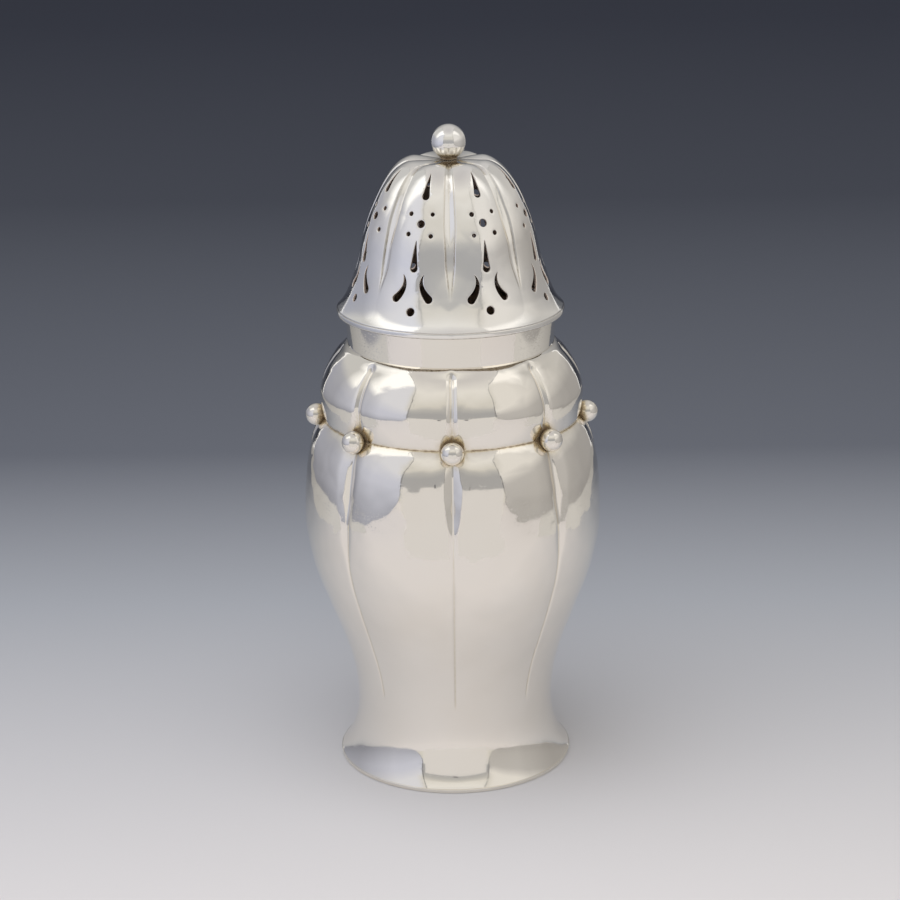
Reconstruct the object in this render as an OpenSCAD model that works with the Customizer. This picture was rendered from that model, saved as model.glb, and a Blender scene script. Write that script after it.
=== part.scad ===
// Silver sugar caster: a lobed, pinched body on a flared foot, with beads in
// the pinch and a pierced bell-shaped lid that lifts off by its ball finial.
// Millimetres, +Z up, origin at the centre of the foot's underside.
// A crease faces the front (-Y) and one more stands at each lobe's side.

/* [Foot] */
// Outside diameter of the foot ring
foot_d = 65; // [60:0.5:72]
// Height of the foot ring
foot_ring_h = 1.2; // [0.8:0.1:2]
// Thickness of the base plate
base_t = 1; // [0.6:0.1:2]
// Width of the ledge on the foot ring that carries the base plate
base_ledge = 0.8; // [0.4:0.1:2]

/* [Body] */
// Thickness of the body's raised sheet
wall = 0.9; // [0.6:0.1:1.3]
// Diameter of the waist above the foot
waist_d = 54.6; // [50:0.2:58]
// Height of the waist
waist_z = 16.5; // [13:0.5:22]
// Diameter of the belly over its lobes
belly_d = 82.8; // [76:0.2:90]
// Height of the belly's widest line
belly_z = 73.5; // [62:0.5:78]
// Depth of the pinch inside the belly's widest line
pinch_in = 6.2; // [4:0.1:8]
// Height of the pinch
pinch_z = 98.3; // [94:0.1:101]
// Swell of the shoulder outside the pinch
shoulder_out = 1.3; // [0.6:0.1:3]
// Height of the shoulder's widest line
shoulder_z = 107.1; // [105:0.1:110]

/* [Neck] */
// Outside diameter of the plain neck
neck_d = 57.2; // [54:0.1:60]
// Height at which the shoulder meets the neck
neck_z = 119.8; // [117:0.1:122]
// Height of the mouth
mouth_z = 128.35; // [125:0.05:134]
// Wall of the neck collar
collar_t = 1.1; // [0.8:0.1:1.6]
// Length of the collar that hangs inside the shoulder
collar_lap = 3; // [2:0.5:5]
// Thickness of the body's filed edge round the collar
lip_t = 0.25; // [0.15:0.05:0.5]

/* [Lobes and beads] */
// Number of lobes round the body, and of panels round the lid
lobes = 8; // [6:1:10]
// Depth of the soft valleys between the lobes
valley_depth = 1; // [0.4:0.1:1.4]
// Depth of the creases along the valleys
crease_depth = 1.35; // [0.6:0.05:1.6]
// Half width of the creases below the pinch
crease_w = 4.6; // [3:0.1:6]
// Diameter of the beads
bead_d = 6.1; // [4:0.1:7]
// Height of the beads' centres above the pinch
bead_rise = 1.1; // [0:0.1:2]
// Depth to which each bead is let into its crease
bead_seat = 0.3; // [0.1:0.05:0.4]

/* [Lid] */
// Overhang of the lid's rim beyond the neck
rim_out = 2.25; // [1.4:0.05:4]
// Height of the rim band
rim_h = 1.55; // [1.2:0.05:3]
// Width of the rim band under the dome's edge
rim_w = 1.8; // [1.4:0.1:2.4]
// Thickness of the flange between the rim band and the sleeve
flange_t = 0.8; // [0.5:0.1:1.1]
// Height of the dome above the rim
dome_h = 40.3; // [36:0.1:50]
// Draw-in from the rim to the line where the dome's flare turns upright
dome_in = 6.9; // [5:0.1:9]
// Height of that line above the rim
dome_turn_h = 19.35; // [16:0.05:24]
// Diameter of the crown's top ridge
crown_d = 20; // [14:0.5:22]
// Thickness of the dome's raised sheet
dome_wall = 0.8; // [0.6:0.1:1.2]
// Depth of the soft valleys between the panels
panel_valley = 1.1; // [0.4:0.1:1.4]
// Depth of the flutes along those valleys
flute_depth = 0.8; // [0.4:0.05:1.2]
// Width of the groove in each flute, as a share of a panel
flute_share = 0.22; // [0.15:0.01:0.4]
// Length of the sleeve below the rim
sleeve_len = 9; // [6:0.5:14]
// Wall of the sleeve
sleeve_t = 0.8; // [0.6:0.1:1.2]

/* [Piercing] */
// Diameter of the small dots
dot_d = 1.2; // [0.8:0.1:1.6]
// Diameter of the large dots
eye_d = 1.9; // [1.4:0.1:2.4]
// Width of the drops and commas
drop_w = 1.85; // [1.2:0.05:2.2]
// Height of the commas
comma_h = 6.4; // [5:0.1:8]
// Sideways lean of a comma's tip
comma_lean = 1.4; // [0.5:0.1:2]
// Sideways bow of a comma's back
comma_bow = 3.3; // [2:0.1:4]

/* [Finial] */
// Diameter of the ball
finial_d = 9.4; // [7:0.1:12]
// Diameter of the neck under the ball
finial_neck_d = 4.8; // [3.4:0.1:6]
// Height of the neck under the ball
finial_neck_h = 0.9; // [0.5:0.1:3]
// Depth of the dimple in the crown round the neck
dimple = 0.7; // [0.4:0.1:1.6]
// Diameter of the peg that holds the ball
peg_d = 2; // [1.4:0.1:2.4]
// Length of the peg inside the ball
peg_in = 4; // [2:0.5:5]
// Diameter of the peg's head inside the dome
peg_head_d = 4.2; // [3.4:0.1:5]
// Thickness of the peg's head
peg_head_t = 0.8; // [0.5:0.1:1.5]
// Flat left in the dimple round the neck and the head
seat_margin = 0.3; // [0.1:0.1:1]

/* [Fits] */
// Gap all round between the sleeve and the collar
lid_fit = 0.08; // [0.05:0.01:0.1]
// Gap between the lid's flange and the mouth
seat_gap = 0.05; // [0.02:0.01:0.1]
// Film of solder between pieces that are soldered together
solder = 0.03; // [0.02:0.01:0.06]
// Chamfer that breaks the edges of the rings
edge_break = 0.2; // [0.1:0.05:0.3]

/* [Hidden] */
BEADS = [for (k = [1 : lobes]) str("waist_bead_", k)];
$fn = 96;
over = 1;
silver = [0.83, 0.82, 0.80];
silver_shade = [0.70, 0.69, 0.68];

// Columns of points across one lobe, crowded towards its creases
columns = 8;
crowding = 0.8;
pitch = 360 / lobes;
front = 270;
function across(k) = let (s = k / columns) s - crowding * sin(360 * s) / 360 * 180 / PI;
spread = [for (lobe = [0 : lobes - 1], k = [0 : columns - 1]) (lobe + across(k)) * pitch];
// Half of the widest step between columns, whose chord lies inside the circle
half_step = (across(columns / 2) - across(columns / 2 - 1)) * pitch / 2;

// Depth of a valley with its crease at u, from 0 in the crease to 1 on the lobe's centre line
function dip(u, valley, crease, share) = valley * pow(1 - u, 2) + crease * pow(max(0, 1 - u / share), 2);
function from_crease(a) = let (s = a / pitch) 2 * abs(s - round(s));

function bezier(p, t) = pow(1 - t, 3) * p[0] + 3 * t * pow(1 - t, 2) * p[1]
    + 3 * t * t * (1 - t) * p[2] + pow(t, 3) * p[3];
function curve(p, n) = [for (i = [0 : n - 1]) bezier(p, i / n)];
function chain(curves, steps) = concat([for (i = [0 : len(curves) - 1]) each curve(curves[i], steps[i])],
    [curves[len(curves) - 1][3]]);
// Outward normal of a meridian at its point i
function outward(line, i) =
    let (d = line[min(i + 1, len(line) - 1)] - line[max(i - 1, 0)])
    [d[1], -d[0]] / norm(d);

// Body meridian as [radius, height]: foot, waist, belly, pinch, shoulder, neck
foot_p = [foot_d / 2 - edge_break, foot_ring_h];
waist_p = [waist_d / 2, waist_z];
belly_p = [belly_d / 2, belly_z];
pinch_p = [belly_d / 2 - pinch_in, pinch_z];
shoulder_p = [pinch_p[0] + shoulder_out, shoulder_z];
neck_p = [neck_d / 2 + solder + lip_t, neck_z];
foot_rise = waist_p - foot_p;
upper = pinch_p - belly_p;
body_curves = [
    [foot_p, foot_p + [0.58 * foot_rise[0], 0.21 * foot_rise[1]], waist_p - [0, 0.43 * foot_rise[1]], waist_p],
    [waist_p, waist_p + [0, 0.38 * (belly_z - waist_z)], belly_p - [0, 0.39 * (belly_z - waist_z)], belly_p],
    [belly_p, belly_p + [0, 0.7 * upper[1]], pinch_p - [0.62 * upper[0], 0.055 * upper[1]], pinch_p],
    [pinch_p, pinch_p + [0.45 * shoulder_out, 0.17 * (shoulder_z - pinch_z)],
        shoulder_p - [0, 0.37 * (shoulder_z - pinch_z)], shoulder_p],
    [shoulder_p, shoulder_p + [0, 0.3 * (neck_z - shoulder_z)],
        neck_p + [0.42 * (shoulder_p[0] - neck_p[0]), -0.05 * (neck_z - shoulder_z)], neck_p],
];
outer_steps = [5, 9, 7, 4, 6];
inner_steps = [3, 6, 5, 3, 4];
// Shares of the valleys' and creases' depth and of the creases' width, by height
bulge_z = belly_z + 0.42 * upper[1];
under_pinch_z = belly_z + 0.68 * upper[1];
valleys = [[waist_z + 3, 0], [belly_z, 0.9], [bulge_z, 1], [pinch_z, 0.6], [shoulder_z, 1],
    [neck_z - 2, 0.8], [neck_z, 0]];
creases = [[waist_z + 6, 0], [belly_z - 10, 0.1], [belly_z + 3, 0.45], [bulge_z, 0.9], [under_pinch_z, 1],
    [pinch_z, 0.45], [shoulder_z, 0.55], [neck_z - 1.6, 0.5], [neck_z, 0]];
crease_ws = [[belly_z - 10, 0.2], [belly_z + 3, 0.57], [bulge_z, 0.78], [under_pinch_z, 1], [pinch_z, 1],
    [shoulder_z, 0.57], [neck_z, 0.4]];

// Rings of a skin as [meridian point, outward normal, valley depth, crease depth, crease share]
function rings(line, inset) = [for (i = [0 : len(line) - 1])
    let (n = outward(line, i), z = line[i][1], half_lobe = PI * line[i][0] / lobes)
    [line[i] - inset * n, n, valley_depth * lookup(z, valleys), crease_depth * lookup(z, creases),
        crease_w * lookup(z, crease_ws) / half_lobe]];
function middle(list) = [for (i = [1 : len(list) - 2]) list[i]];
function reversed(list) = [for (i = [len(list) - 1 : -1 : 0]) list[i]];

// Body skin: the inside ends square on the foot ring and round the collar
collar_r = neck_d / 2;
collar_bore_r = collar_r - collar_t;
lip_r = (collar_r + solder) / cos(half_step);
body_outer = rings(chain(body_curves, outer_steps), 0);
body_inner_line = chain(body_curves, inner_steps);
body_inner = concat(
    [[foot_p - [wall / outward(body_inner_line, 0)[0], 0], [1, 0], 0, 0, 1]],
    middle(rings(body_inner_line, wall)),
    [[[lip_r, neck_z], [1, 0], 0, 0, 1]]);
inside_line = [for (ring = body_inner) [ring[0][1], ring[0][0]]];

// Point of a skin on one ring at angle a, kept outside the radius keep
function skin_point(ring, a, keep) =
    let (p = ring[0] - ring[1] * dip(from_crease(a), ring[2], ring[3], ring[4]))
    let (r = max(p[0], keep))
    [r * cos(a), r * sin(a), p[1]];
function clear_of_collar(ring) = ring[0][1] > neck_z - collar_lap - wall ? lip_r : 0;

// Closed skin through rings that run up the outside and down the inside
function ring_faces(n, m) = [for (i = [0 : n - 1], j = [0 : m - 1], half = [0, 1])
    let (up = (i + 1) % n, on = (j + 1) % m)
    half == 0 ? [i * m + j, up * m + j, up * m + on] : [i * m + j, up * m + on, i * m + on]];

// Beads on the creases
crease_line = [for (ring = body_outer) let (p = ring[0] - ring[1] * (ring[2] + ring[3])) [p[1], p[0]]];
bead_z = pinch_z + bead_rise;
bead_ring_r = lookup(bead_z, crease_line) + bead_d / 2 - bead_seat;

// Base plate, let into the foot above the ring
base_r = lookup(foot_ring_h + base_t, inside_line) * cos(half_step) - solder;

// Lid heights and radii
rim_z = mouth_z + seat_gap;
dome_z = rim_z + rim_h;
crown_z = dome_z + dome_h;
rim_r = collar_r + rim_out;
sleeve_r = collar_bore_r - lid_fit;
peg_bore_d = peg_d + 2 * solder;
seat_r = max(finial_neck_d, peg_head_d) / 2 + seat_margin;
seat_z = crown_z - dimple;
ball_flat_z = seat_z + finial_neck_h;
finial_z = ball_flat_z + sqrt(pow(finial_d / 2, 2) - pow(finial_neck_d / 2, 2));

// Dome meridian: rim, turn, crown, dimple, then flat to a pilot hole for the peg
edge_p = [rim_r - edge_break, dome_z];
turn_p = [rim_r - dome_in, dome_z + dome_turn_h];
crown_p = [crown_d / 2, crown_z];
seat_p = [seat_r, seat_z];
pilot_p = [peg_d / 4, seat_z];
flare = turn_p - edge_p;
lean = [-0.21, 1];
dome_rise = crown_p - turn_p;
dome_curves = [
    [edge_p, edge_p + [0.53 * flare[0], 0.21 * flare[1]], turn_p - lean * 0.32 * flare[1], turn_p],
    [turn_p, turn_p + lean * 0.3 * dome_rise[1], crown_p - [0.5 * dome_rise[0], 0], crown_p],
    [crown_p, crown_p + 0.2 * [seat_p[0] - crown_p[0], 0], seat_p + 0.5 * [crown_p[0] - seat_p[0], 0], seat_p],
];
// Shares of the valleys' and flutes' depth: none at the rim, full on the bell, less on the crown
crown_valley = 0.35;
crown_flute = 0.8;
panel_valleys = [[dome_z + 0.17 * dome_h, 0], [dome_z + 0.45 * dome_h, 0.8], [dome_z + 0.7 * dome_h, 1],
    [dome_z + 0.9 * dome_h, 0.8], [crown_z, crown_valley]];
flutes = [[dome_z + 0.17 * dome_h, 0], [dome_z + 0.45 * dome_h, 0.75], [dome_z + 0.7 * dome_h, 1],
    [dome_z + 0.9 * dome_h, 1], [crown_z, crown_flute]];
// Share at a point of the meridian; both close towards the dimple's flat
function share_at(p, shares, on_crown, in_dimple) = in_dimple
    ? on_crown * max(0, p[0] - seat_r) / (crown_p[0] - seat_r)
    : lookup(p[1], shares);
function dome_rings(steps, inset) =
    let (line = concat(chain(dome_curves, steps), [pilot_p]))
    let (n = len(line) - 1)
    [for (i = [0 : n]) let (flat = i >= n - 1, in_dimple = i > steps[0] + steps[1])
        let (up = flat ? [0, 1] : outward(line, i))
        let (valley = flat ? 0 : panel_valley * share_at(line[i], panel_valleys, crown_valley, in_dimple))
        let (flute = flat ? 0 : flute_depth * share_at(line[i], flutes, crown_flute, in_dimple))
        [line[i] - inset * up, up, valley, flute, flute_share]];
dome_outer = dome_rings([9, 9, 3], 0);
dome_inner_rings = dome_rings([5, 6, 2], dome_wall);
dome_edge_in = [edge_p - [dome_wall / dome_inner_rings[0][1][0], 0], [1, 0], 0, 0, 1];
dome_inner = concat([dome_edge_in], [for (i = [1 : len(dome_inner_rings) - 1]) dome_inner_rings[i]]);
panel_line = [for (p = chain([dome_curves[0], dome_curves[1]], [9, 9])) [p[1], p[0]]];
// Point on a panel's centre line at a share of the dome's height
function on_dome(share) = let (z = dome_z + share * dome_h) [lookup(z, panel_line), z];

module skin(outer, inner, lid) {
    all = concat(outer, reversed(inner));
    polyhedron(
        points = [for (i = [0 : len(all) - 1], a = spread)
            let (keep = !lid && i >= len(outer) ? clear_of_collar(all[i]) : 0)
            skin_point(all[i], a, keep)],
        faces = ring_faces(len(all), len(spread)),
        convexity = 8);
}

module at_bead(k) {
    rotate([0, 0, front + (k - 1) * pitch])
        translate([bead_ring_r, 0, bead_z])
            children();
}

module body_shell() {
    color(silver)
        difference() {
            skin(body_outer, body_inner, false);
            for (k = [1 : lobes])
                at_bead(k)
                    sphere(d = bead_d + 2 * solder);
        }
}

module neck_collar() {
    low = neck_z - collar_lap;
    color(silver)
        rotate_extrude()
            polygon([[collar_bore_r, low], [collar_r, low], [collar_r, mouth_z - edge_break],
                [collar_r - edge_break, mouth_z], [collar_bore_r + edge_break, mouth_z],
                [collar_bore_r, mouth_z - edge_break]]);
}

module foot_ring() {
    r = foot_d / 2;
    bore = base_r - base_ledge;
    color(silver_shade)
        rotate_extrude()
            polygon([[bore, 0], [r - edge_break, 0], [r, edge_break], [r, foot_ring_h - edge_break],
                [r - edge_break, foot_ring_h], [bore, foot_ring_h]]);
}

module base_plate() {
    color(silver_shade)
        translate([0, 0, foot_ring_h])
            cylinder(h = base_t, r = base_r);
}

module waist_bead(k) {
    color(silver)
        at_bead(k)
            sphere(d = bead_d);
}

// Drop with its round end at the origin and its tip at the height h
module drop(h) {
    tangent = asin(drop_w / 2 / h);
    arc = 10;
    polygon(concat([[0, h]], [for (k = [0 : arc])
        let (a = tangent - k * (180 + 2 * tangent) / arc) drop_w / 2 * [cos(a), sin(a)]]));
}

// Comma whose tail bows inwards and whose round end, at the origin, curls outwards
module comma() {
    steps = 5;
    tip = [-comma_lean, comma_h];
    back = [-comma_bow, 0.55 * comma_h];
    spine = [for (i = [0 : steps]) let (t = i / steps) pow(1 - t, 2) * tip + 2 * t * (1 - t) * back];
    side = [for (i = [1 : steps]) let (t = i / steps)
        let (d = -2 * (1 - t) * tip + 2 * (1 - 2 * t) * back)
        drop_w / 2 * pow(t, 0.8) * [-d[1], d[0]] / norm(d)];
    start = atan2(side[steps - 1][1], side[steps - 1][0]);
    polygon(concat([tip], [for (i = [1 : steps]) spine[i] + side[i - 1]],
        [for (k = [1 : 5]) drop_w / 2 * [cos(start - 30 * k), sin(start - 30 * k)]],
        [for (i = [steps : -1 : 1]) spine[i] - side[i - 1]]));
}

// Cutter on a panel: children lie in the sheet at the share low, towards the share high
module cut_panel(sideways, low, high) {
    p = on_dome(low);
    d = on_dome(high) - p;
    rotate([0, 0, sideways * pitch / 2])
        translate([p[0], 0, p[1]])
            rotate([0, -atan2(-d[0], d[1]), 0])
                rotate([90, 0, 90])
                    translate([0, 0, -4 * dome_wall])
                        linear_extrude(8 * dome_wall)
                            children();
}

// Openings of one panel: a drop, five dots, a long drop, two commas and a dot
module panel_piercing() {
    cut_panel(0, 0.836, 0.955)
        drop(norm(on_dome(0.955) - on_dome(0.836)));
    for (s = [-1, 1], row = [[0.37, 0.728], [0.36, 0.595]])
        cut_panel(s * row[0], row[1], row[1] + 0.02)
            circle(d = dot_d);
    for (row = [0.12, 0.662])
        cut_panel(0, row, row + 0.02)
            circle(d = eye_d);
    cut_panel(0, 0.39, 0.555)
        drop(norm(on_dome(0.555) - on_dome(0.39)));
    for (s = [0, 1])
        mirror([0, s, 0])
            cut_panel(0.46, 0.195, 0.35)
                comma();
}

module lid_dome() {
    color(silver)
        difference() {
            skin(dome_outer, dome_inner, true);
            for (k = [0 : lobes - 1])
                rotate([0, 0, (k + 0.5) * pitch])
                    panel_piercing();
            translate([0, 0, seat_z - dome_wall - over])
                cylinder(h = dome_wall + 2 * over, d = peg_bore_d);
        }
}

module lid_rim() {
    bore = sleeve_r + solder;
    band = rim_r - rim_w;
    color(silver)
        rotate_extrude()
            polygon([[bore, rim_z], [rim_r - edge_break, rim_z], [rim_r, rim_z + edge_break],
                [rim_r, dome_z - edge_break], [rim_r - edge_break, dome_z], [band, dome_z],
                [band, rim_z + flange_t], [bore, rim_z + flange_t]]);
}

module lid_sleeve() {
    low = rim_z - sleeve_len;
    high = rim_z + flange_t;
    color(silver_shade)
        rotate_extrude()
            polygon([[sleeve_r - sleeve_t, low], [sleeve_r - edge_break, low], [sleeve_r, low + edge_break],
                [sleeve_r, high], [sleeve_r - sleeve_t, high]]);
}

module finial_ball() {
    color(silver)
        difference() {
            translate([0, 0, finial_z])
                sphere(d = finial_d);
            translate([-finial_d, -finial_d, ball_flat_z - finial_d])
                cube([2 * finial_d, 2 * finial_d, finial_d]);
            translate([0, 0, ball_flat_z - over])
                cylinder(h = peg_in + over + solder, d = peg_bore_d);
        }
}

module finial_peg() {
    under = seat_z - dome_wall;
    color(silver_shade)
        union() {
            translate([0, 0, under - peg_head_t])
                cylinder(h = peg_head_t, d = peg_head_d);
            translate([0, 0, under - peg_head_t / 2])
                cylinder(h = ball_flat_z + peg_in - under + peg_head_t / 2, d = peg_d);
            translate([0, 0, seat_z])
                cylinder(h = finial_neck_h, d = finial_neck_d);
        }
}

body_shell();
neck_collar();
foot_ring();
base_plate();
for (k = [1 : lobes]) {
    waist_bead(k);
}
lid_dome();
lid_rim();
lid_sleeve();
finial_ball();
finial_peg();
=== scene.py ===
"""Silver sugar caster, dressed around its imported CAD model: a raised and lobed body with
pearls in its pinch, a hand-pierced bell lid with a ball finial, and a small studio."""

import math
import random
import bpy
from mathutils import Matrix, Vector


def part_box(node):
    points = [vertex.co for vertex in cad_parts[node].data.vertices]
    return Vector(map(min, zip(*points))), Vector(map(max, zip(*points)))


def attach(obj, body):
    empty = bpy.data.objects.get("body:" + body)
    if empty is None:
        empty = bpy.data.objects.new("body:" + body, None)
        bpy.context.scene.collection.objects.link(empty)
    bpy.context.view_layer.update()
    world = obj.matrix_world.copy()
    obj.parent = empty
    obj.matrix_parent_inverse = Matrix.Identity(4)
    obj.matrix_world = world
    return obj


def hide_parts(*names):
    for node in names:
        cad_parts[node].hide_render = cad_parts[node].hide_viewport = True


bl_info = {
    "name": "Silver Sugar Caster",
    "version": (1, 0, 0),
    "blender": (4, 5, 0),
    "location": "3D View > Sidebar > Caster",
    "description": "Builds a lobed silver sugar caster with a pierced lid, and its studio",
    "category": "Object",
}

import bpy
import numpy as np
from bpy.props import FloatProperty, FloatVectorProperty, PointerProperty
from mathutils import Matrix, Vector, noise
from mathutils.geometry import delaunay_2d_cdt

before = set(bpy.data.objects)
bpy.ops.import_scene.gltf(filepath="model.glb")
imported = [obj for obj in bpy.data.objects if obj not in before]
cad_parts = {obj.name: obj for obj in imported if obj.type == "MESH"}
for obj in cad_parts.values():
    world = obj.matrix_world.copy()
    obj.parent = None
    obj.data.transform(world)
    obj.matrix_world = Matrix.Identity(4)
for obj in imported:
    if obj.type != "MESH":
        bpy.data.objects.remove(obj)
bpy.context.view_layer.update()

MM = 0.001
LOBES = 8
PITCH = math.tau / LOBES
HALF_PITCH = PITCH / 2
FRONT = -math.pi / 2
CLEARANCE = 0.03 * MM
EDGE_LAP = 0.2 * MM


def ring_of(node):
    """Outside radius, underside and top of a round CAD node on the caster's axis."""
    low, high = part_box(node)
    return (high.x - low.x) / 2, low.z, high.z


FOOT_R, FOOT_LOW, FOOT_TOP = ring_of("foot_ring")
BASE_R, BASE_LOW, BASE_TOP = ring_of("base_plate")
COLLAR_R, COLLAR_LOW, MOUTH_Z = ring_of("neck_collar")
RIM_R, RIM_LOW, RIM_TOP = ring_of("lid_rim")
SLEEVE_R, SLEEVE_LOW, SLEEVE_TOP = ring_of("lid_sleeve")
BALL_R, BALL_LOW, BALL_TOP = ring_of("finial_ball")
HEAD_R, PEG_LOW, PEG_TOP = ring_of("finial_peg")
NECK_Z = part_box("body_shell")[1].z
DOME_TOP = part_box("lid_dome")[1].z
DOME_H = DOME_TOP - RIM_TOP
BEADS = [f"waist_bead_{k}" for k in range(1, LOBES + 1)]
BEAD_BOXES = [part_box(bead) for bead in BEADS]
BEAD_R = (BEAD_BOXES[0][1].z - BEAD_BOXES[0][0].z) / 2
BEAD_Z = (BEAD_BOXES[0][1].z + BEAD_BOXES[0][0].z) / 2


def length(name, description, default):
    """A size in metres that a user may change."""
    return FloatProperty(name=name, description=description, default=default, min=0.0,
                         precision=5, unit="LENGTH", subtype="DISTANCE")


def share(name, description, default):
    """A part of one, such as a mask's strength."""
    return FloatProperty(name=name, description=description, default=default, min=0.0,
                         max=1.0, subtype="FACTOR")


def colour(name, description, default):
    """A colour in linear light."""
    return FloatVectorProperty(name=name, description=description, default=default, size=3,
                               min=0.0, soft_max=1.0, subtype="COLOR")


class CasterBodySizes(bpy.types.PropertyGroup):
    """Sizes of the lobed body, its creases and its rings."""

    wall: length("Wall", "Thickness of the body's raised sheet", 0.0009)
    waist_d: length("Waist diameter", "Diameter of the waist above the foot", 0.0546)
    waist_z: length("Waist height", "Height of the waist", 0.0165)
    belly_d: length("Belly diameter", "Diameter of the belly over its lobes", 0.0828)
    belly_z: length("Belly height", "Height of the belly's widest line", 0.0735)
    pinch_in: length("Pinch depth", "Depth of the pinch inside the belly's widest line", 0.0062)
    pinch_z: length("Pinch height", "Height of the pinch", 0.0994)
    shoulder_out: length("Shoulder swell", "Swell of the shoulder outside the pinch", 0.0013)
    shoulder_z: length("Shoulder height", "Height of the shoulder's widest line", 0.1071)
    lip_r: length("Lip radius", "Radius of the body's filed edge round the collar", 0.0284)
    lip_rise: length("Joint rise", "How far the sloping solder joint climbs the neck", 0.0002)
    valley_depth: length("Valley depth", "Depth of the soft valleys between the lobes", 0.0010)
    crease_depth: length("Crease depth", "Depth of the creases along the valleys", 0.00135)
    crease_w: length("Crease width", "Half width of the creases below the pinch", 0.0046)
    crease_floor: length("Crease floor", "Half width of the floor of each crease", 0.00022)
    chase_depth: length("Chased line", "Depth of the chased line down each crease", 0.00024)
    hammer_pitch: length("Hammer pitch", "Spacing of the planishing marks", 0.0052)
    hammer_depth: length("Hammer depth", "Depth of the planishing marks", 0.00013)
    collar_wall: length("Collar wall", "Wall of the neck collar", 0.0011)
    neck_lean: length("Neck lean", "How much narrower the neck is at the shoulder", 0.0006)
    base_ledge: length("Base ledge", "Ledge of the foot ring under the base plate", 0.0008)


class CasterLidSizes(bpy.types.PropertyGroup):
    """Sizes of the pierced bell lid and its finial."""

    dome_in: length("Draw-in", "Draw-in from the rim to the line where the flare turns", 0.0069)
    dome_turn_h: length("Turn height", "Height of that line above the rim", 0.01935)
    crown_d: length("Crown diameter", "Diameter of the crown's top ridge", 0.020)
    dome_wall: length("Dome wall", "Thickness of the dome's raised sheet", 0.0008)
    valley_depth: length("Valley depth", "Depth of the soft valleys between the panels", 0.0011)
    flute_depth: length("Flute depth", "Depth of the grooves along those valleys", 0.0009)
    flute_share: share("Flute width", "Width of a flute's groove as a share of a panel", 0.19)
    flute_edge: length("Flute edge", "Depth of the crisp step beside a flute", 0.0005)
    crown_valley: share("Crown valleys", "Share of the valleys' depth on the crown", 0.8)
    crown_flute: share("Crown flutes", "Share of the flutes' depth on the crown", 0.3)
    dimple: length("Crown dimple", "Depth of the dimple in the crown round the finial", 0.00025)
    seat_r: length("Dimple flat", "Radius of the flat in the dimple", 0.0027)
    bore_r: length("Peg bore", "Radius of the bore for the finial's peg", 0.00103)
    rim_w: length("Rim width", "Width of the rim band under the dome's edge", 0.0018)
    flange_t: length("Flange", "Thickness of the flange inside the rim band", 0.0008)
    sleeve_wall: length("Sleeve wall", "Wall of the sleeve", 0.0008)
    dot_d: length("Small dots", "Diameter of the small drilled dots", 0.0012)
    eye_d: length("Large dots", "Diameter of the large drilled dots", 0.0022)
    drop_w: length("Drop width", "Width of the sawn drops and commas", 0.00212)
    comma_h: length("Comma height", "Height of the commas", 0.0064)
    hand_slip: length("Hand slip", "Wander of the sawn openings from panel to panel", 0.00022)
    hand_twist: length("Hand twist", "How far the upper openings stray to one side", 0.0008)
    hammer_pitch: length("Hammer pitch", "Spacing of the planishing marks", 0.0065)
    hammer_depth: length("Hammer depth", "Depth of the planishing marks", 0.0002)
    neck_r: length("Finial neck", "Radius of the neck under the ball", 0.0024)
    peg_r: length("Peg radius", "Radius of the peg inside the ball", 0.001)


class CasterFinish(bpy.types.PropertyGroup):
    """Colours and polish of the silver."""

    silver: colour("Silver", "Polished silver", (0.955, 0.912, 0.835))
    # Whiter tone of the lid, also brightened as painted light on the lid and the finial
    lid_silver: colour("Lid silver", "Whiter polished silver of the lid", (0.975, 0.955, 0.915))
    # Duller from wear, and darkened as painted shade on the foot ring and the base plate
    foot_silver: colour("Foot silver", "Duller silver of the foot", (0.90, 0.86, 0.78))
    inside: colour("Inside", "Unpolished silver inside body and lid", (0.80, 0.68, 0.60))
    gilding: colour("Thin tarnish", "Golden edge of the tarnish", (0.70, 0.61, 0.44))
    tarnish: colour("Tarnish", "Brown tarnish in creases and round beads", (0.28, 0.20, 0.12))
    # The lid's two tarnish tones below also paint the shadow line under the rim band
    lid_haze: colour("Lid haze", "Grey edge of the tarnish on the lid", (0.60, 0.56, 0.49))
    lid_grime_and_shadow: colour("Lid grime", "Dark tarnish on the lid", (0.20, 0.155, 0.10))
    tarnish_strength: share("Tarnish strength", "How dark the tarnish is", 0.95)
    polish: share("Polish", "Roughness of the polished surface", 0.06)


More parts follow.
